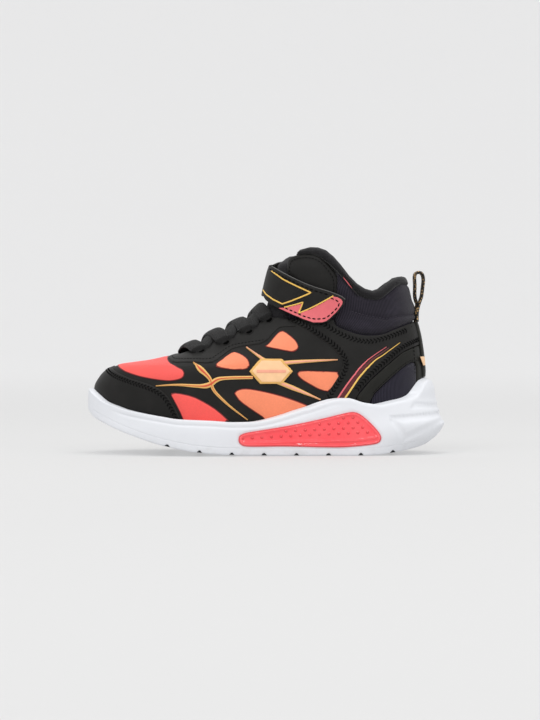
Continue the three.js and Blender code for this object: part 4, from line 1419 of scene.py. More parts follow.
def make_footbed():
    """The removable insole: a soft slab with a raised rim that fills the bottom of the sock."""
    count = 200
    q = np.linspace(-1, 1, count, endpoint=False)
    rings = []
    for up, depth in (
        (2.3, -6.4), (2.2, -5.4), (4.4, -5.25), (5.9, -5.5), (6.3, -6.2), (6.2, -7.2)
    ):
        z = np.full(count, 20.0)
        for _ in range(25):
            z = 0.6 * z + 0.4 * (bed(UPPER.point(q, z)[:, 0]) + up)
        rings.append(UPPER.point(q, z, depth))

    def dish(x, y, share):
        return -0.9 * np.sin(np.pi * share) ** 0.7

    points, faces = bridged(rings, (None, dish), 24)
    piece = outward(mesh_object("footbed", points, faces, points[:, :2]))
    dress(piece, knit_tongue, replaces=["insole"])


# ---- panels of the upper -------------------------------------------------------------
def pressed(amount, reach=4.0):
    """A panel that swells softly away from its stitched border."""

    def puff(q, z, uv, edge):
        return amount * ease(0.5, reach, edge)

    return puff


def make_panels():
    for label, side in SIDES:
        piece = cut_piece(
            f"cage_{label}", one_side(CAGE_SIDE, side, 1), CAGE_IN, CAGE_OUT, UPPER, "front", 2.4,
            0.5
        )
        dress(piece, cage_film, replaces=["cage"] if side < 0 else [])
    vamp = cut_piece(
        "vamp_film", both_sides(softened(VAMP_PANEL, 1, closed=False)), 0.5, 1.6, UPPER, "front",
        1.5, 0.7, 0.4, pressed(0.15)
    )
    dress(vamp, film_red, replaces=["panel_vamp"])
    tip = cut_piece(
        "toe_bumper", both_sides(softened(TOE_CAP, 1, closed=False)), GAP, OVERLAY_OUT, UPPER,
        "front", 1.6, 0.9, 0.4, pressed(0.25, 6)
    )
    dress(tip, leather_toe, replaces=["toe_cap"])
    eyestay = cut_piece(
        "eyelet_stay", eyestay_places(), GAP, OVERLAY_OUT + 0.1, UPPER, "front", 1.5, 0.9, 0.4
    )
    dress(eyestay, leather_black, replaces=["eyestay"])
    for label, side in SIDES:
        for node, outline, film, slot in (
            ("panel_lower", LOWER_PANEL, film_red, "red_panel"),
            ("panel_middle", MIDDLE_PANEL, film_orange, "orange_panel"),
            ("panel_waist", WAIST_PANEL, film_orange, "orange_panel"),
            ("panel_upper", UPPER_PANEL, film_orange, "orange_panel"),
            ("panel_rear", REAR_PANEL, film_orange, "orange_panel"),
        ):
            piece = cut_piece(
                f"{node}_{label}_film", one_side(outline, side, 1), PANEL_IN, PANEL_OUT, UPPER,
                "front", 1.3, 0.6, 0.4, pressed(0.12)
            )
            dress(piece, film, replaces=[f"{node}_{label}"])
        saddle = cut_piece(
            f"ankle_saddle_{label}", one_side(SADDLE, side, 1), 0.4, OVERLAY_OUT + 0.15, UPPER,
            "back", 1.7, 0.9, 0.4, pressed(0.2)
        )
        dress(saddle, leather_black, replaces=[f"saddle_{label}"])
        flap = cut_piece(
            f"flap_{label}_pad", one_side(FLAP, side, 1), -1.6, OVERLAY_OUT - 0.2, UPPER, "front",
            1.4, 1.8, 0.5, pressed(1.1, 9)
        )
        dress(flap, leather_black, replaces=[f"ankle_flap_{label}"])
        inset = cut_piece(
            f"inset_{label}", one_side(HEEL_INSET, side, 1), 0.2, 1.25, UPPER, "back", 1.4, 0.9,
            0.3, pressed(0.3)
        )
        dress(inset, rib_inset, replaces=[f"heel_inset_{label}"])
        back = cut_piece(
            f"heel_panel_{label}_skin", heel_frame_places(side), 0.3, OVERLAY_OUT, UPPER, "back",
            1.5, 0.7, 0.4
        )
        dress(
            back, leather_heel, replaces=["heel_panel"] if side < 0 else []
        )


def eyestay_places():
    """A horseshoe round the throat: its outer edge on both sides, then back along the opening."""
    outer = [(-58.8, 61.2), *softened(EYESTAY_EDGE[1:-1], 1, closed=False).tolist(), (13.3, 82.4)]
    opening = [(x, z - 0.2) for x, z in reversed(THROAT_EDGE) if x < 12.8]
    half_path = [*outer, *opening]
    return both_sides(half_path)


def heel_frame_places(side):
    """The heel panel as a frame round its ribbed inset: outer edge, then the inset's edge back."""
    outer = [
        (54.6, 30), (55.4, 36), (63.3, 45.6), (72.8, 54.1), (82.2, 62.1), (89, 65.1), (96, 67.4),
        (112, 67.6), (112, 34)
    ]
    cut = [
        (93, 34), (91.2, 41.5), (91.2, 53.5), (90.2, 56.2), (88, 56.6), (84.3, 54.8), (77.2, 48.8),
        (70.2, 42.3), (65.6, 37.8), (63.6, 34), (62, 31)
    ]
    return on_side(outer + cut, side)


# ---- padded collar and tongue --------------------------------------------------------
def padded_piece(name, places, inner, outer, anchor, step, rim, puff=None):
    """A pad rounded on both faces: two cut sheets that meet at a rounded border."""
    middle = (inner + outer) / 2
    obj = cut_piece(name, places, middle, outer, UPPER, anchor, step, rim, 0.0, puff)
    mesh = obj.data
    total = len(mesh.vertices) // 2
    coords = np.zeros(len(mesh.vertices) * 3, dtype=np.float64)
    mesh.vertices.foreach_get("co", coords)
    coords = coords.reshape(-1, 3)
    marks = np.zeros(len(mesh.vertices), dtype=np.float32)
    mesh.attributes["edge"].data.foreach_get("value", marks)
    edge = marks[:total]
    profile = np.sqrt(np.clip(1 - (1 - np.clip(edge / rim, 0, 1)) ** 2, 0, 1))
    uv = np.zeros(len(mesh.loops) * 2, dtype=np.float32)
    mesh.uv_layers["pattern"].data.foreach_get("uv", uv)
    vertex = np.zeros(len(mesh.loops), dtype=np.int32)
    mesh.loops.foreach_get("vertex_index", vertex)
    flat = np.zeros((len(mesh.vertices), 2))
    flat[vertex] = uv.reshape(-1, 2)
    q, z = UPPER.unflat(flat[:total] / MM, anchor)
    normal = UPPER.normal(q, z)
    coords[total:] += normal * ((inner - middle) * profile * MM)[:, None]
    marks[total:] = edge
    mesh.vertices.foreach_set("co", coords.ravel())
    mesh.attributes["edge"].data.foreach_set("value", marks)
    mesh.update()
    return obj


QUILT_LINE = [(52.5, 87.5), (60, 85), (66.5, 84), (72.5, 82.5), (77, 84), (89, 85.5), (112, 86)]


def make_collar():
    low = [(x, z + 1.5 * float(ease(56, 66, x))) for x, z in COLLAR_LOW[4:]]
    body = [(43.2, 112.6), (41.8, 98), (41.2, 82), *COLLAR_SEAM]

    def quilting(q, z, uv, edge):
        """Padding that swells between the seams and dips along the sewn row."""
        p = UPPER.point(q, z)
        run = np.array(QUILT_LINE, float)
        line = np.interp(p[:, 0], run[:, 0], run[:, 1])
        away = np.abs(z - line)
        dip = np.exp(-((away / 1.3) ** 2)) * ease(49, 54, p[:, 0])
        top = np.interp(p[:, 0], *np.array(COLLAR_LOW[3:-1], float).T)
        under_loop = ease(84, 89, p[:, 0]) * ease(11, 8, np.abs(p[:, 1])) * ease(90, 95, z)
        return (
            1.5 - 0.5 * ease(9, 1, top - z)
        ) * ease(0.3, 3.4, edge) - 0.85 * dip - 1.1 * under_loop

    places = band_round(body, low)
    shell = cut_piece("collar_cover", places, -2.2, 0.9, UPPER, "back", 1.4, 1.6, 0.0, quilting)
    dress(shell, rib_collar, replaces=["collar_shell", "collar_foam"])
    inner = padded_piece("collar_inner", places, -6.2, -2.4, "back", 2.0, 2.6)
    dress(inner, knit_lining, replaces=["collar_lining"])

    top_line = [(x, z - 0.9) for x, z in COLLAR_TOP]

    def rolled(q, z, uv, edge):
        """The roll swells in front and leans inwards round the heel."""
        x = UPPER.point(q, z)[:, 0]
        return (0.5 - 1.2 * ease(78, 92, x)) * ease(0.5, 3, edge)

    low_all = [(x, z - 0.1 - 1.5 * float(ease(53, 45, x))) for x, z in COLLAR_LOW]
    ring = band_round(low_all, top_line[::-1])
    roll = padded_piece("collar_binding", ring, -6.0, 1.9, "back", 1.2, 2.6, rolled)
    dress(roll, knit_roll, replaces=["collar_roll"])
    for label, side in SIDES:
        slope = np.array([(33.6, 120.0), (40, 114.9), (46.6, 108.2), (51.8, 101.6), (56, 97.2)])
        places = on_side(slope, side)
        seam = ribbon(
            f"collar_seam_{label}", places, [(0, 0.3), (0.5, 0.55), (1, 0.3)], 1.2, 2.2,
            anchor="back", across=5
        )
        dress(seam, binding_tape)
        places = on_side(slope[2:4] + [0.3, 0.1], side)
        tab = ribbon(
            f"collar_seam_mark_{label}", places, [(0, 0.2), (0.5, 0.6), (1, 0.2)], 1.4, 2.35,
            anchor="back", across=5, smooth=0
        )
        dress(tab, line_pink)


def make_tongue():
    edge = throat_edge(4.5, -50, 13.5, 40)
    path = [
        (-51, 61), *edge, (17.4, 84), (17.6, 100), (17.8, 116), (16, 120.5), (13, 122.4), (9.4, 123)
    ]

    def fullness(q, z, uv, rim):
        ridge = 0.35 * np.sin(z / 1.9 * 2 * np.pi / 4)
        return (
            1.6 + 2.4 * ease(70, 90, z)
        ) * ease(0.5, 7.0, rim) + ridge * ease(2, 6, rim) * ease(60, 66, z)

    pad = cut_piece(
        "tongue_pad", both_sides(path), -7.6, TONGUE_OUT - 0.5, UPPER, "front", 1.9, 2.6, 0.0,
        fullness
    )
    dress(pad, knit_tongue, "tongue", ["tongue_shell", "tongue_foam"])
    back = padded_piece("tongue_backing", both_sides(path), -9.2, -7.0, "front", 2.6, 1.6)
    dress(back, knit_lining, "tongue", ["tongue_lining"])


# ---- elastic laces -------------------------------------------------------------------
def over_throat(x, offset):
    """The place (q, z) on the upper at x, a signed distance from the middle line."""
    side = LATERAL if offset < 0 else MEDIAL
    levels = np.linspace(46, 128, 1200)
    levels = levels[front_x(levels) <= x]
    q = UPPER.q_of(np.full(len(levels), x), levels, np.full(len(levels), side))
    reach = np.abs(UPPER.point(q, levels)[:, 1] - centre_line(x))
    start = int(np.argmax(reach))
    down = reach[start:][::-1]
    z = float(np.interp(abs(offset), down, levels[start:][::-1]))
    return float(UPPER.q_of(np.array(x), np.array(z), side)), z


def lace_run(x0, reach0, x1, reach1):
    """From an eyelet on the outer side, over the tongue, to one on the inner side."""
    shares = np.linspace(0, 1, 41)
    places = [over_throat(x0 + (x1 - x0) * s, -reach0 + (reach0 + reach1) * s) for s in shares]
    q, z = np.array(places).T
    return UPPER.flat(q, z, "front")


EYELETS = [(-38.5, 61.6), (-23.5, 67), (-9.5, 73.6), (2.8, 81)]
LACE_WIDTHS = [(0, 5.0), (0.07, 8.2), (0.16, 9.3), (0.84, 9.3), (0.93, 8.2), (1, 5.0)]


def eyelet_reach(i, side):
    """How far an eyelet is from the middle line of the throat."""
    x, z = EYELETS[i]
    q = UPPER.q_of(np.array([x]), np.array([z]), np.array([side]))
    return abs(float(UPPER.point(q, np.array([z]))[0, 1]) - float(centre_line(x)))


def make_laces():
    def lace(name, ends, inner, outer, bow, dive, node):
        run = resample(lace_run(*ends), 0.9)
        piece = flat_ribbon(
            name, run, LACE_WIDTHS, inner, outer, crown=0.7, across=11,
            lift=lambda s: bow * np.sin(np.pi * s) ** 2 - dive * (
                ease(0.93, 1.0, s) + 1 - ease(0.0, 0.07, s)
            ),
        )
        dress(piece, lace_elastic, replaces=[node])

    for i in range(4):
        x0, reach0 = EYELETS[i][0] - 1.3, eyelet_reach(i, LATERAL) - 0.3
        x1 = EYELETS[i - 1][0] + 1.3 if i else -51.0
        reach1 = eyelet_reach(i - 1, MEDIAL) - 0.3 if i else float(throat_half(-44)) + 7.5
        lace(
            f"elastic_upper_run_{i + 1}", (x0, reach0, x1, reach1), 2.7, 4.7, 1.5, 3.0,
            f"lace_under_{i + 1}"
        )
    for i in range(3):
        x0, reach0 = EYELETS[i][0] + 0.6, eyelet_reach(i, LATERAL) - 1.2
        x1, reach1 = EYELETS[i + 1][0] - 1.4, eyelet_reach(i + 1, MEDIAL) - 1.2
        lace(
            f"elastic_lower_run_{i + 1}", (x0, reach0, x1, reach1), 1.8, 3.6, 0.8, 2.2,
            f"lace_over_{i + 1}"
        )


def tangent_ring(name, x, z, side, radii, heights, material):
    """Rings of points about a place on the upper, square to its skin, from the middle outwards."""
    q = UPPER.q_of(np.array([x]), np.array([z]), np.array([side]))
    z = np.array([z])
    centre, normal = UPPER.point(q, z)[0], UPPER.normal(q, z)[0]
    across = np.cross(normal, (0, 0, 1.0))
    across /= np.linalg.norm(across)
    upward = np.cross(across, normal)
    turn = np.linspace(0, 2 * np.pi, 28, endpoint=False)
    spokes = np.cos(turn)[:, None] * across + np.sin(turn)[:, None] * upward
    rows = [centre + spokes * r + normal * h for r, h in zip(radii, heights)]
    n, count = len(turn), len(rows)
    faces = []
    for k in range(count):
        for i in range(n):
            j, m = (i + 1) % n, (k + 1) % count
            faces.append((k * n + i, k * n + j, m * n + j, m * n + i))
    return dress(outward(mesh_object(name, np.vstack(rows), faces)), material)


def make_eyelets():
    for label, side in SIDES:
        for i, (x, z) in enumerate(EYELETS):
            name = f"eyelet_{label}_{i + 1}"
            # A near-black disc fills each eyelet: painted shade inside the hole.
            tangent_ring(
                f"{name}_hole", x, z, side, (0.05, 1.0, 2.0, 2.0, 1.0, 0.05),
                (1.9, 1.93, 1.96, 0.9, 0.9, 0.9), eyelet_hole_shade
            )
            turn = np.linspace(0, 2 * np.pi, 8, endpoint=False)
            tangent_ring(
                name, x, z, side, 2.25 + 0.4 * np.cos(turn), 1.8 + 0.32 * np.sin(turn),
                eyelet_black
            )


# ---- ankle strap ---------------------------------------------------------------------
def make_strap():
    places = np.vstack([on_side(STRAP_OUTER, LATERAL), on_side(STRAP_INNER, MEDIAL)])
    band = cut_piece(
        "ankle_strap", places, STRAP_IN, STRAP_OUT, UPPER, "front", 1.2, 0.75, 0.35, pressed(0.1)
    )
    dress(band, strap_cloth, None, ["strap_band", "strap_root"])
    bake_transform(band)

    def on_strap(name, points, widths, material, height=0.16, side=LATERAL, smooth=0):
        line = on_side(points, side)
        piece = ribbon(
            name, line, widths, STRAP_OUT - 0.2, STRAP_OUT + height, crown=0.5, across=5,
            smooth=smooth
        )
        dress(piece, material, "strap")

    frame_line = [
        (8.6, 110.9), (9.8, 110.0), (14.5, 106.4), (28.6, 99.2), (13, 91.3), (8.4, 93.8),
        (5.2, 96.8), (3.9, 99.2)
    ]
    on_strap("strap_frame_line", frame_line, 0.95, line_yellow, 0.42)
    zigzag = [(14, 89.2), (24.2, 93.4), (21.4, 85.6), (41, 97.6)]
    tab = [
        (10.4, 88.1), (14.0, 89.2), (23.9, 93.0), (21.2, 85.2), (40.6, 97.4), (43.4, 96.9),
        (45.6, 95.7), (46.6, 94.2), (46.2, 92.4),
        (43.2, 87.8), (39.3, 83.2), (36.9, 80.9), (34.2, 79.8), (29.1, 79.35), (23.2, 81.3),
        (16.5, 84.9),
    ]
    flash = cut_piece(
        "strap_flash", one_side(tab, LATERAL, 0), STRAP_OUT - 0.7, STRAP_OUT + 0.14, UPPER, "front",
        1.0, 0.3, 0.3
    )
    dress(flash, line_pink, "strap")
    on_strap("strap_zigzag_line", zigzag, 0.85, line_yellow, 0.42)
    top_edge = on_side(STRAP_OUTER[1:8], LATERAL)
    tab_row = on_side(
        [
            (40.4, 96.0), (43.9, 94.3), (44.4, 92.2), (41.5, 88), (37.2, 83.4), (34.6, 82.2),
            (29, 81.7), (24, 83.4), (19.8, 85.9), (13.1, 89.4)
        ],
        LATERAL
    )
    rows = [
        skin_line(top_edge[:5], STRAP_OUT + 0.2, smooth=1, shift=2.0),
        skin_line(tab_row, STRAP_OUT + 0.24, smooth=1)
    ]
    stitched("strap_stitches", rows, thread_black, "strap", 3.0, 2.4, 0.42)
    binding = ribbon(
        "strap_cut_edge", top_edge, 0.5, STRAP_OUT - 0.9, STRAP_OUT + 0.08, crown=0.8, across=5,
        smooth=1
    )
    dress(binding, cut_edge, "strap")

    def patch(name, outline, side, inner, outer, body, node, material):
        piece = cut_piece(name, one_side(outline, side, 1), inner, outer, UPPER, "front", 1.6, 0.4)
        dress(piece, material, body, [node])

    patch(
        "pile_patch", TAPE_PATCH, LATERAL, 1.9, 2.8, "shoe_body", "loop_patch", tape_fuzz,
    )
    patch(
        "hook_tape", TAPE_PATCH, LATERAL, 3.1, 4.15, "strap", "hook_patch", tape_fuzz
    )
    patch(
        "strap_seat", ANCHOR_PATCH, MEDIAL, 1.9, 4.0, "shoe_body", "strap_anchor", strap_cloth,
    )
    box = np.array([(19, 86.5), (34.5, 82.6), (35.4, 98), (20.6, 103)], float)
    box = np.vstack([box, box[:1]])
    places = on_side(box, MEDIAL)
    stitched(
        "strap_root_stitches", [skin_line(places, STRAP_OUT + 0.12, smooth=0)], thread_black,
        "shoe_body", 2.4, 1.7, 0.27
    )


# ---- heel tape, backstay and pull loop -----------------------------------------------
def make_heel():
    places = []
    for side, order in ((LATERAL, 1), (MEDIAL, -1)):
        levels = [47, 55, 63, 70, 76, 80.8]
        half = [9.6, 9.4, 8.8, 8.4, 8.2, 8.0]
        pairs = list(zip(levels, half))[::order]
        for z, reach in pairs:
            levels_x = np.linspace(float(back_x(z)) - 24, float(back_x(z)) - 0.01, 400)
            q = UPPER.q_of(levels_x, np.full(400, z), side)
            y = np.abs(UPPER.point(q, np.full(400, z))[:, 1])
            x = float(np.interp(reach, y[::-1], levels_x[::-1]))
            places.append((x, z, side))
    stay = cut_piece(
        "backstay_strip", places, 1.9, 2.95, UPPER, "back", 1.3, 0.7, 0.35, pressed(0.25)
    )
    dress(stay, leather_heel, replaces=["backstay"])
    wedge = [
        (91.8, 59.4, LATERAL), (112, 59.4, LATERAL), (92.2, 59.4, MEDIAL), (94.4, 54.0, MEDIAL),
        (112, 53.2, LATERAL), (93.8, 54.0, LATERAL)
    ]
    mark = cut_piece("heel_mark", wedge, 2.9, 3.25, UPPER, "back", 0.9, 0.35, 0.3)
    dress(mark, badge_peach)

    outer = [
        (93.2, 91.2), (92, 93.4), (91.3, 97), (91.1, 104), (91.1, 109.4), (92, 111.8),
        (94.4, 112.6),
        (96.8, 111.4), (97.8, 107.6), (97.6, 102.6), (96.4, 96), (95, 92.6), (94.4, 91.2),
    ]
    line = softened(
        [
            (93.55, 91.4),
            *[
                tuple(
                    np.array(p) + (
                        np.array([94.4, 103]) - p
                    ) / np.linalg.norm(np.array([94.4, 103]) - p) * 0.9
                ) for p in outer[1:-1]
            ],
            (94.2, 91.2)
        ],
        2, closed=False
    )
    loop = web_strip(line, 14.0, 1.9)
    obj = tape_loft("heel_loop", *loop)
    dress(obj, loop_tape, "loop", ["pull_loop"])
    tail_line = np.array([(93.7, 91.4), (93.1, 88.6), (92.7, 85.6), (92.8, 81.0)])
    tail = tape_loft("heel_loop_tail", *web_strip(softened(tail_line, 2, closed=False), 14.0, 2.9))
    dress(tail, loop_tape, replaces=["loop_tail"])


def web_strip(line, width, thick):
    """Rows of a woven tape that follows a side-view line, with soft rounded selvedges."""
    line = resample(line, 0.7)
    tangent = np.gradient(line, axis=0)
    tangent /= np.linalg.norm(tangent, axis=1, keepdims=True)
    out = np.column_stack([-tangent[:, 1], tangent[:, 0]])
    length = np.concatenate([[0], np.cumsum(np.linalg.norm(np.diff(line, axis=0), axis=1))])
    rows, uvs = [], []
    shape = []
    for k in range(11):
        s = -1 + 2 * k / 10
        shape.append((s, math.sqrt(max(0.0, 1 - abs(s) ** 6)) * 0.5))
    ring = shape + [(s, -h) for s, h in reversed(shape[1:-1])]
    for s, h in ring:
        p = line + out * (h * thick)
        rows.append(np.column_stack([p[:, 0], np.full(len(p), s * width / 2), p[:, 1]]))
        uvs.append(np.column_stack([length, np.full(len(p), s * width / 2)]))
    return rows, uvs


def tape_loft(name, rows, uvs):
    return loft(name, rows, uvs, [np.full(len(r), 1.0) for r in rows])


# ---- lines, badge and stitching ------------------------------------------------------
WEB_LINES = {
    "sweep": (
        [
            (-43.6, 55.2), (-41, 53.4), (-38.1, 51.1), (-35.6, 48.9), (-33.7, 46.6), (-32.9, 44.2),
            (-32.5, 41.6), (-30.9, 38.9), (-28.6, 36.4), (-24.9, 32.9), (-20.8, 29.4), (-11.2, 22.1)
        ],
        [
            (0, 0.7), (0.12, 1.2), (0.22, 1.9), (0.32, 3.2), (0.4, 3.6), (0.48, 2.9), (0.58, 2.1),
            (0.8, 1.5), (1, 0.6)
        ],
    ),
    "branch": (
        [
            (-66, 42.2), (-53.5, 43.2), (-42, 42.4), (-36.5, 42.3), (-33, 43.6), (-30, 46.3),
            (-25, 47.2), (-8, 47.5)
        ],
        [(0, 0.6), (0.3, 1.5), (0.48, 2.2), (0.55, 3.2), (0.64, 3.0), (0.72, 2.1), (1, 1.9)],
    ),
    "brow": ([(-11.5, 64.8), (-7, 61.6), (1, 56.3)], [(0, 0.9), (1, 2.4)]),
    "upper_ray": (
        [(2.5, 54.6), (10, 56), (22, 57), (43.5, 58)], [(0, 3.2), (0.4, 2.4), (0.8, 1.4), (1, 0.7)]
    ),
    "lower_ray": ([(6, 45.2), (20, 39.6), (33, 34)], [(0, 2.6), (0.4, 2.8), (1, 0.8)]),
}


def make_lines():
    for label, side in SIDES:
        for key, (points, widths) in WEB_LINES.items():
            places = on_side(points, side)
            piece = ribbon(f"web_{key}_{label}", places, widths, 0.8, 1.85, crown=0.35, across=7)
            dress(piece, web_gold)
            joined = key in ("sweep", "branch")
            thin = [
                (share, max(0.06, width * 0.6 - 0.7) if joined else width * 0.52) for share,
                width in widths
            ]
            core = ribbon(f"web_{key}_{label}_core", places, thin, 1.5, 2.05, crown=0.4, across=5)
            dress(core, web_core if joined else line_salmon)
        for name, points, widths, material in (
            (
                "pink",
                [
                    (43.5, 34.8), (49, 43), (54, 49.5), (58.5, 55), (63, 59), (68, 62.5),
                    (72.5, 65.5)
                ],
                [(0, 1.0), (0.5, 0.8), (1, 0.3)], line_pink
            ),
            (
                "yellow",
                [
                    (48, 35), (51.5, 40), (56, 47), (61, 52.5), (65.5, 57.5), (70.5, 60.5),
                    (75, 64), (80.5, 68)
                ],
                [(0, 1.1), (0.5, 0.8), (1, 0.35)], line_yellow
            ),
            (
                "wine",
                [
                    (45.8, 34.9), (50.4, 41.6), (55.2, 48.4), (59.9, 53.9), (64.4, 58.4),
                    (69.4, 61.6), (74, 65)
                ],
                [(0, 3.2), (0.5, 1.9), (1, 0.6)], line_wine
            ),
        ):
            places = on_side(points, side)
            top = 2.14 if name == "wine" else 2.3
            piece = ribbon(
                f"saddle_stripe_{name}_{label}", places, widths, 1.6, top, crown=0.3, across=5,
                anchor="back"
            )
            dress(piece, material)


def make_badge():
    """A plain raised badge: a long hexagonal plate inside a rim, split by one groove."""
    cx, cz = BADGE_CENTRE

    def hexagon(reach, high):
        corners = [
            (-reach, 0), (-reach * 0.5, high), (reach * 0.5, high), (reach, 0),
            (reach * 0.5, -high), (-reach * 0.5, -high)
        ]
        return [(cx + x, cz + z) for x, z in corners]

    for label, side in SIDES:
        plates = (
            ("rim", hexagon(13.2, 7.4), 1.2, SECOND_IN + 0.3, web_gold),
            ("plate", hexagon(11.6, 6.3), 1.4, SECOND_IN + 0.7, badge_peach),
            (
                "bar",
                [(cx - 9, cz - 0.9), (cx + 9, cz - 0.9), (cx + 9, cz + 0.9), (cx - 9, cz + 0.9)],
                1.6, SECOND_OUT, line_salmon
            ),
        )
        for name, outline, low, high, material in plates:
            piece = cut_piece(
                f"badge_{label}_{name}", one_side(outline, side, 0), low, high, UPPER, "front", 1.1,
                0.45, 0.2
            )
            dress(
                piece, material, replaces=[f"emblem_{label}"] if name == "plate" else [],
            )


def make_stitching():
    """Double zigzag rows where the overlays are sewn down, single rows elsewhere."""
    rows = {
        "toe": (
            [
                (-96.7, 50.1), (-94.6, 48.5), (-91, 46.9), (-85.8, 45.1), (-77.2, 42.7),
                (-70.2, 40.9), (-63.6, 37.8), (-59.6, 33.8), (-56.8, 28.8), (-54.4, 23.6)
            ],
            "front", 1.85, (-0.75, 0.75)
        ),
        "saddle_front": (
            [
                (15.5, 82.6), (25, 78.0), (34.5, 72.0), (41.9, 66.6), (47.6, 60.3), (49.0, 55.4),
                (47.5, 50.2), (43.5, 43.8), (38.2, 35.8)
            ],
            "back", 2.1, (-0.75, 0.75)
        ),
        "saddle_top": (
            [(34.5, 80.0), (44, 73.9), (53.5, 69.9), (63, 68.5), (72.5, 70.8), (84, 75.2)], "back",
            2.1, (-0.75, 0.75)
        ),
        "saddle_rear": (
            [(55.4, 40.6), (63, 49.4), (72.5, 57.8), (82, 66.0), (89, 69.0), (94, 71)], "back", 2.1,
            (-0.6, 0.8)
        ),
    }
    for label, side in SIDES:
        for name, (points, anchor, depth, shifts) in rows.items():
            places = on_side(points, side)
            for k, shift in enumerate(shifts):
                turn = -1 if name == "toe" else 1
                line = skin_line(places, depth, UPPER, anchor, 0.8, 2, shift * turn * -side)
                stitched(
                    f"{name}_stitch_{label}_{k + 1}", [line], thread_black, pitch=2.2, length=2.4,
                    radius=0.42, lean=0.85 * (1 if k else -1)
                )
        single = {
            "eyestay": (
                [
                    (-57, 58.6), (-55.6, 56.9), (-45.5, 57.3), (-33.6, 57), (-29, 59.8),
                    (-21.8, 65.2), (-16.5, 66.7), (-10.7, 67.7), (-1.5, 69.2)
                ],
                "front", 1.85
            ),
            "flap": (
                [
                    (15.4, 86), (15.2, 104), (15.6, 116.6), (19.2, 119.4), (27.6, 120.2),
                    (33.4, 117.6), (37.6, 113), (41.4, 107.6), (41.2, 98)
                ],
                "front", 1.95
            ),
            "quilt": (QUILT_LINE[:-1], "back", 1.85),
            "inset": (
                [(65.2, 38.4), (69.8, 43.4), (76.8, 50), (83.8, 55.9), (88.4, 57.8), (91.6, 57)],
                "back", 1.75
            ),
            "stay": ([(89.6, 50), (89.4, 58), (88.9, 66), (88.2, 74), (87.2, 80)], "back", 1.8),
        }
        for name, (points, anchor, depth) in single.items():
            places = on_side(points, side)
            line = skin_line(places, depth, UPPER, anchor, 0.8, 2)
            stitched(
                f"{name}_stitch_{label}", [line], thread_grey if name == "quilt" else thread_black,
                pitch=2.1, length=1.5, radius=0.24
            )


# ---- studio --------------------------------------------------------------------------
SWEEP_FLAT, SWEEP_BEND, SWEEP_TOP = 2.4, 1.4, 4.2
CAMERA_DISTANCE, CAMERA_ELEVATION = 1.668, 1.0
CAMERA_AIM = Vector((0.0025, 0.0, 0.0574))
LENS, SENSOR = 135, 36
PAPER_GLOW = 0.385
PAPER_NEAR, PAPER_FRONT = (0.33, 0.33, 0.327), (0.312, 0.312, 0.31)
PAPER_FAR, PAPER_CLOUD = (0.485, 0.485, 0.485), (0.30, 0.30, 0.29)
WORLD_LIGHT = 0.75
LAMPS = (
    ("key", (-0.9, -1.5, 1.6), 1.5, 14.5),
    ("top", (0.3, -0.1, 2.1), 1.8, 16.5),
    ("fill", (1.5, -1.0, 0.8), 1.2, 2.8),
    ("glint", (0.5, -1.35, 0.95), 0.3, 2.0),
)


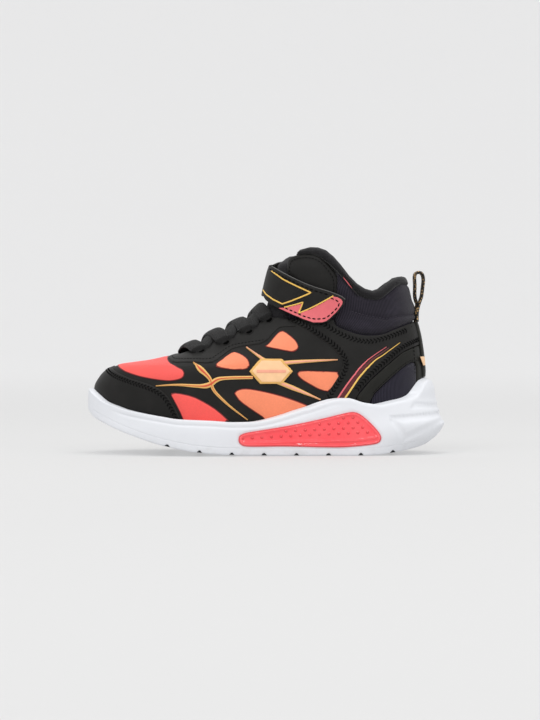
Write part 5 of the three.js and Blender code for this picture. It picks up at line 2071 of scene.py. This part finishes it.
def make_studio():
    """A pale seamless sweep, soft lights and a level view of the outer side."""
    scene = bpy.context.scene
    profile = [(0.001, 0.0), (1.0, 0.0), (SWEEP_FLAT, 0.0)]
    for k in range(1, 11):
        turn = k * math.pi / 20
        profile.append(
            (SWEEP_FLAT + SWEEP_BEND * math.sin(turn), SWEEP_BEND - SWEEP_BEND * math.cos(turn))
        )
    profile.append((SWEEP_FLAT + SWEEP_BEND, SWEEP_TOP))
    vertices, faces = [], []
    around = 64
    for radius, z in profile:
        for k in range(around):
            turn = 2 * math.pi * k / around
            vertices.append((radius * math.cos(turn), radius * math.sin(turn), z))
    for k in range(len(profile) - 1):
        for i in range(around):
            j = (i + 1) % around
            faces.append(
                (k * around + i, k * around + j, (k + 1) * around + j, (k + 1) * around + i)
            )
    faces.append(tuple(reversed(range(around))))
    mesh = bpy.data.meshes.new("sweep")
    mesh.from_pydata(vertices, [], faces)
    mesh.shade_smooth()
    sweep = outward(placed("sweep", mesh))
    paper = Finish("paper", Roughness=0.95, Specular_IOR_Level=0.1, Emission_Strength=PAPER_GLOW)
    paper.put("Emission Color", (0.995, 0.995, 1.0))
    x, y, _ = paper.split(paper.place())
    away = (x * x + y * y) ** 0.5
    tone = paper.mix(away.ramp(0.4, 2.6), PAPER_NEAR, PAPER_FAR)
    front = (y * -1.0).ramp(0.0, 0.6) * (1 - away.ramp(1.3, 2.2))
    tone = paper.mix(front, tone, PAPER_FRONT)
    paper.colour(paper.mix(paper.noise(paper.place(), 3.0, 2.0) * 0.03, tone, PAPER_CLOUD))
    mesh.materials.append(paper.material)

    world = bpy.data.worlds.new("studio")
    world.use_nodes = True
    world.node_tree.nodes["Background"].inputs["Color"].default_value = (1.0, 1.0, 1.0, 1.0)
    world.node_tree.nodes["Background"].inputs["Strength"].default_value = WORLD_LIGHT
    scene.world = world
    for name, place, size, power in LAMPS:
        data = bpy.data.lights.new(name, "AREA")
        data.shape = "SQUARE"
        data.size = size
        data.energy = power
        lamp = placed(name, data)
        lamp.location = place
        lamp.rotation_euler = (
            Vector((0, 0, 0.05)) - Vector(place)
        ).to_track_quat("-Z", "Y").to_euler()

    data = bpy.data.cameras.new("camera")
    data.lens = LENS
    data.sensor_width = SENSOR
    data.sensor_fit = "AUTO"
    camera = placed("camera", data)
    lift = math.radians(CAMERA_ELEVATION)
    camera.location = CAMERA_AIM + Vector((0, -math.cos(lift), math.sin(lift))) * CAMERA_DISTANCE
    camera.rotation_euler = (CAMERA_AIM - camera.location).to_track_quat("-Z", "Y").to_euler()
    scene.camera = camera
    scene.view_settings.view_transform = "Standard"


make_studio()
make_tread()
make_cup()
make_windows()
make_base()
make_footbed()
make_panels()
make_collar()
make_tongue()
make_laces()
make_eyelets()
make_strap()
make_heel()
make_lines()
make_badge()
make_stitching()

for node in ("strobel_board", "toe_puff", "heel_counter"):
    bpy.data.objects[node].data.materials.clear()
    bpy.data.objects[node].data.materials.append(board)
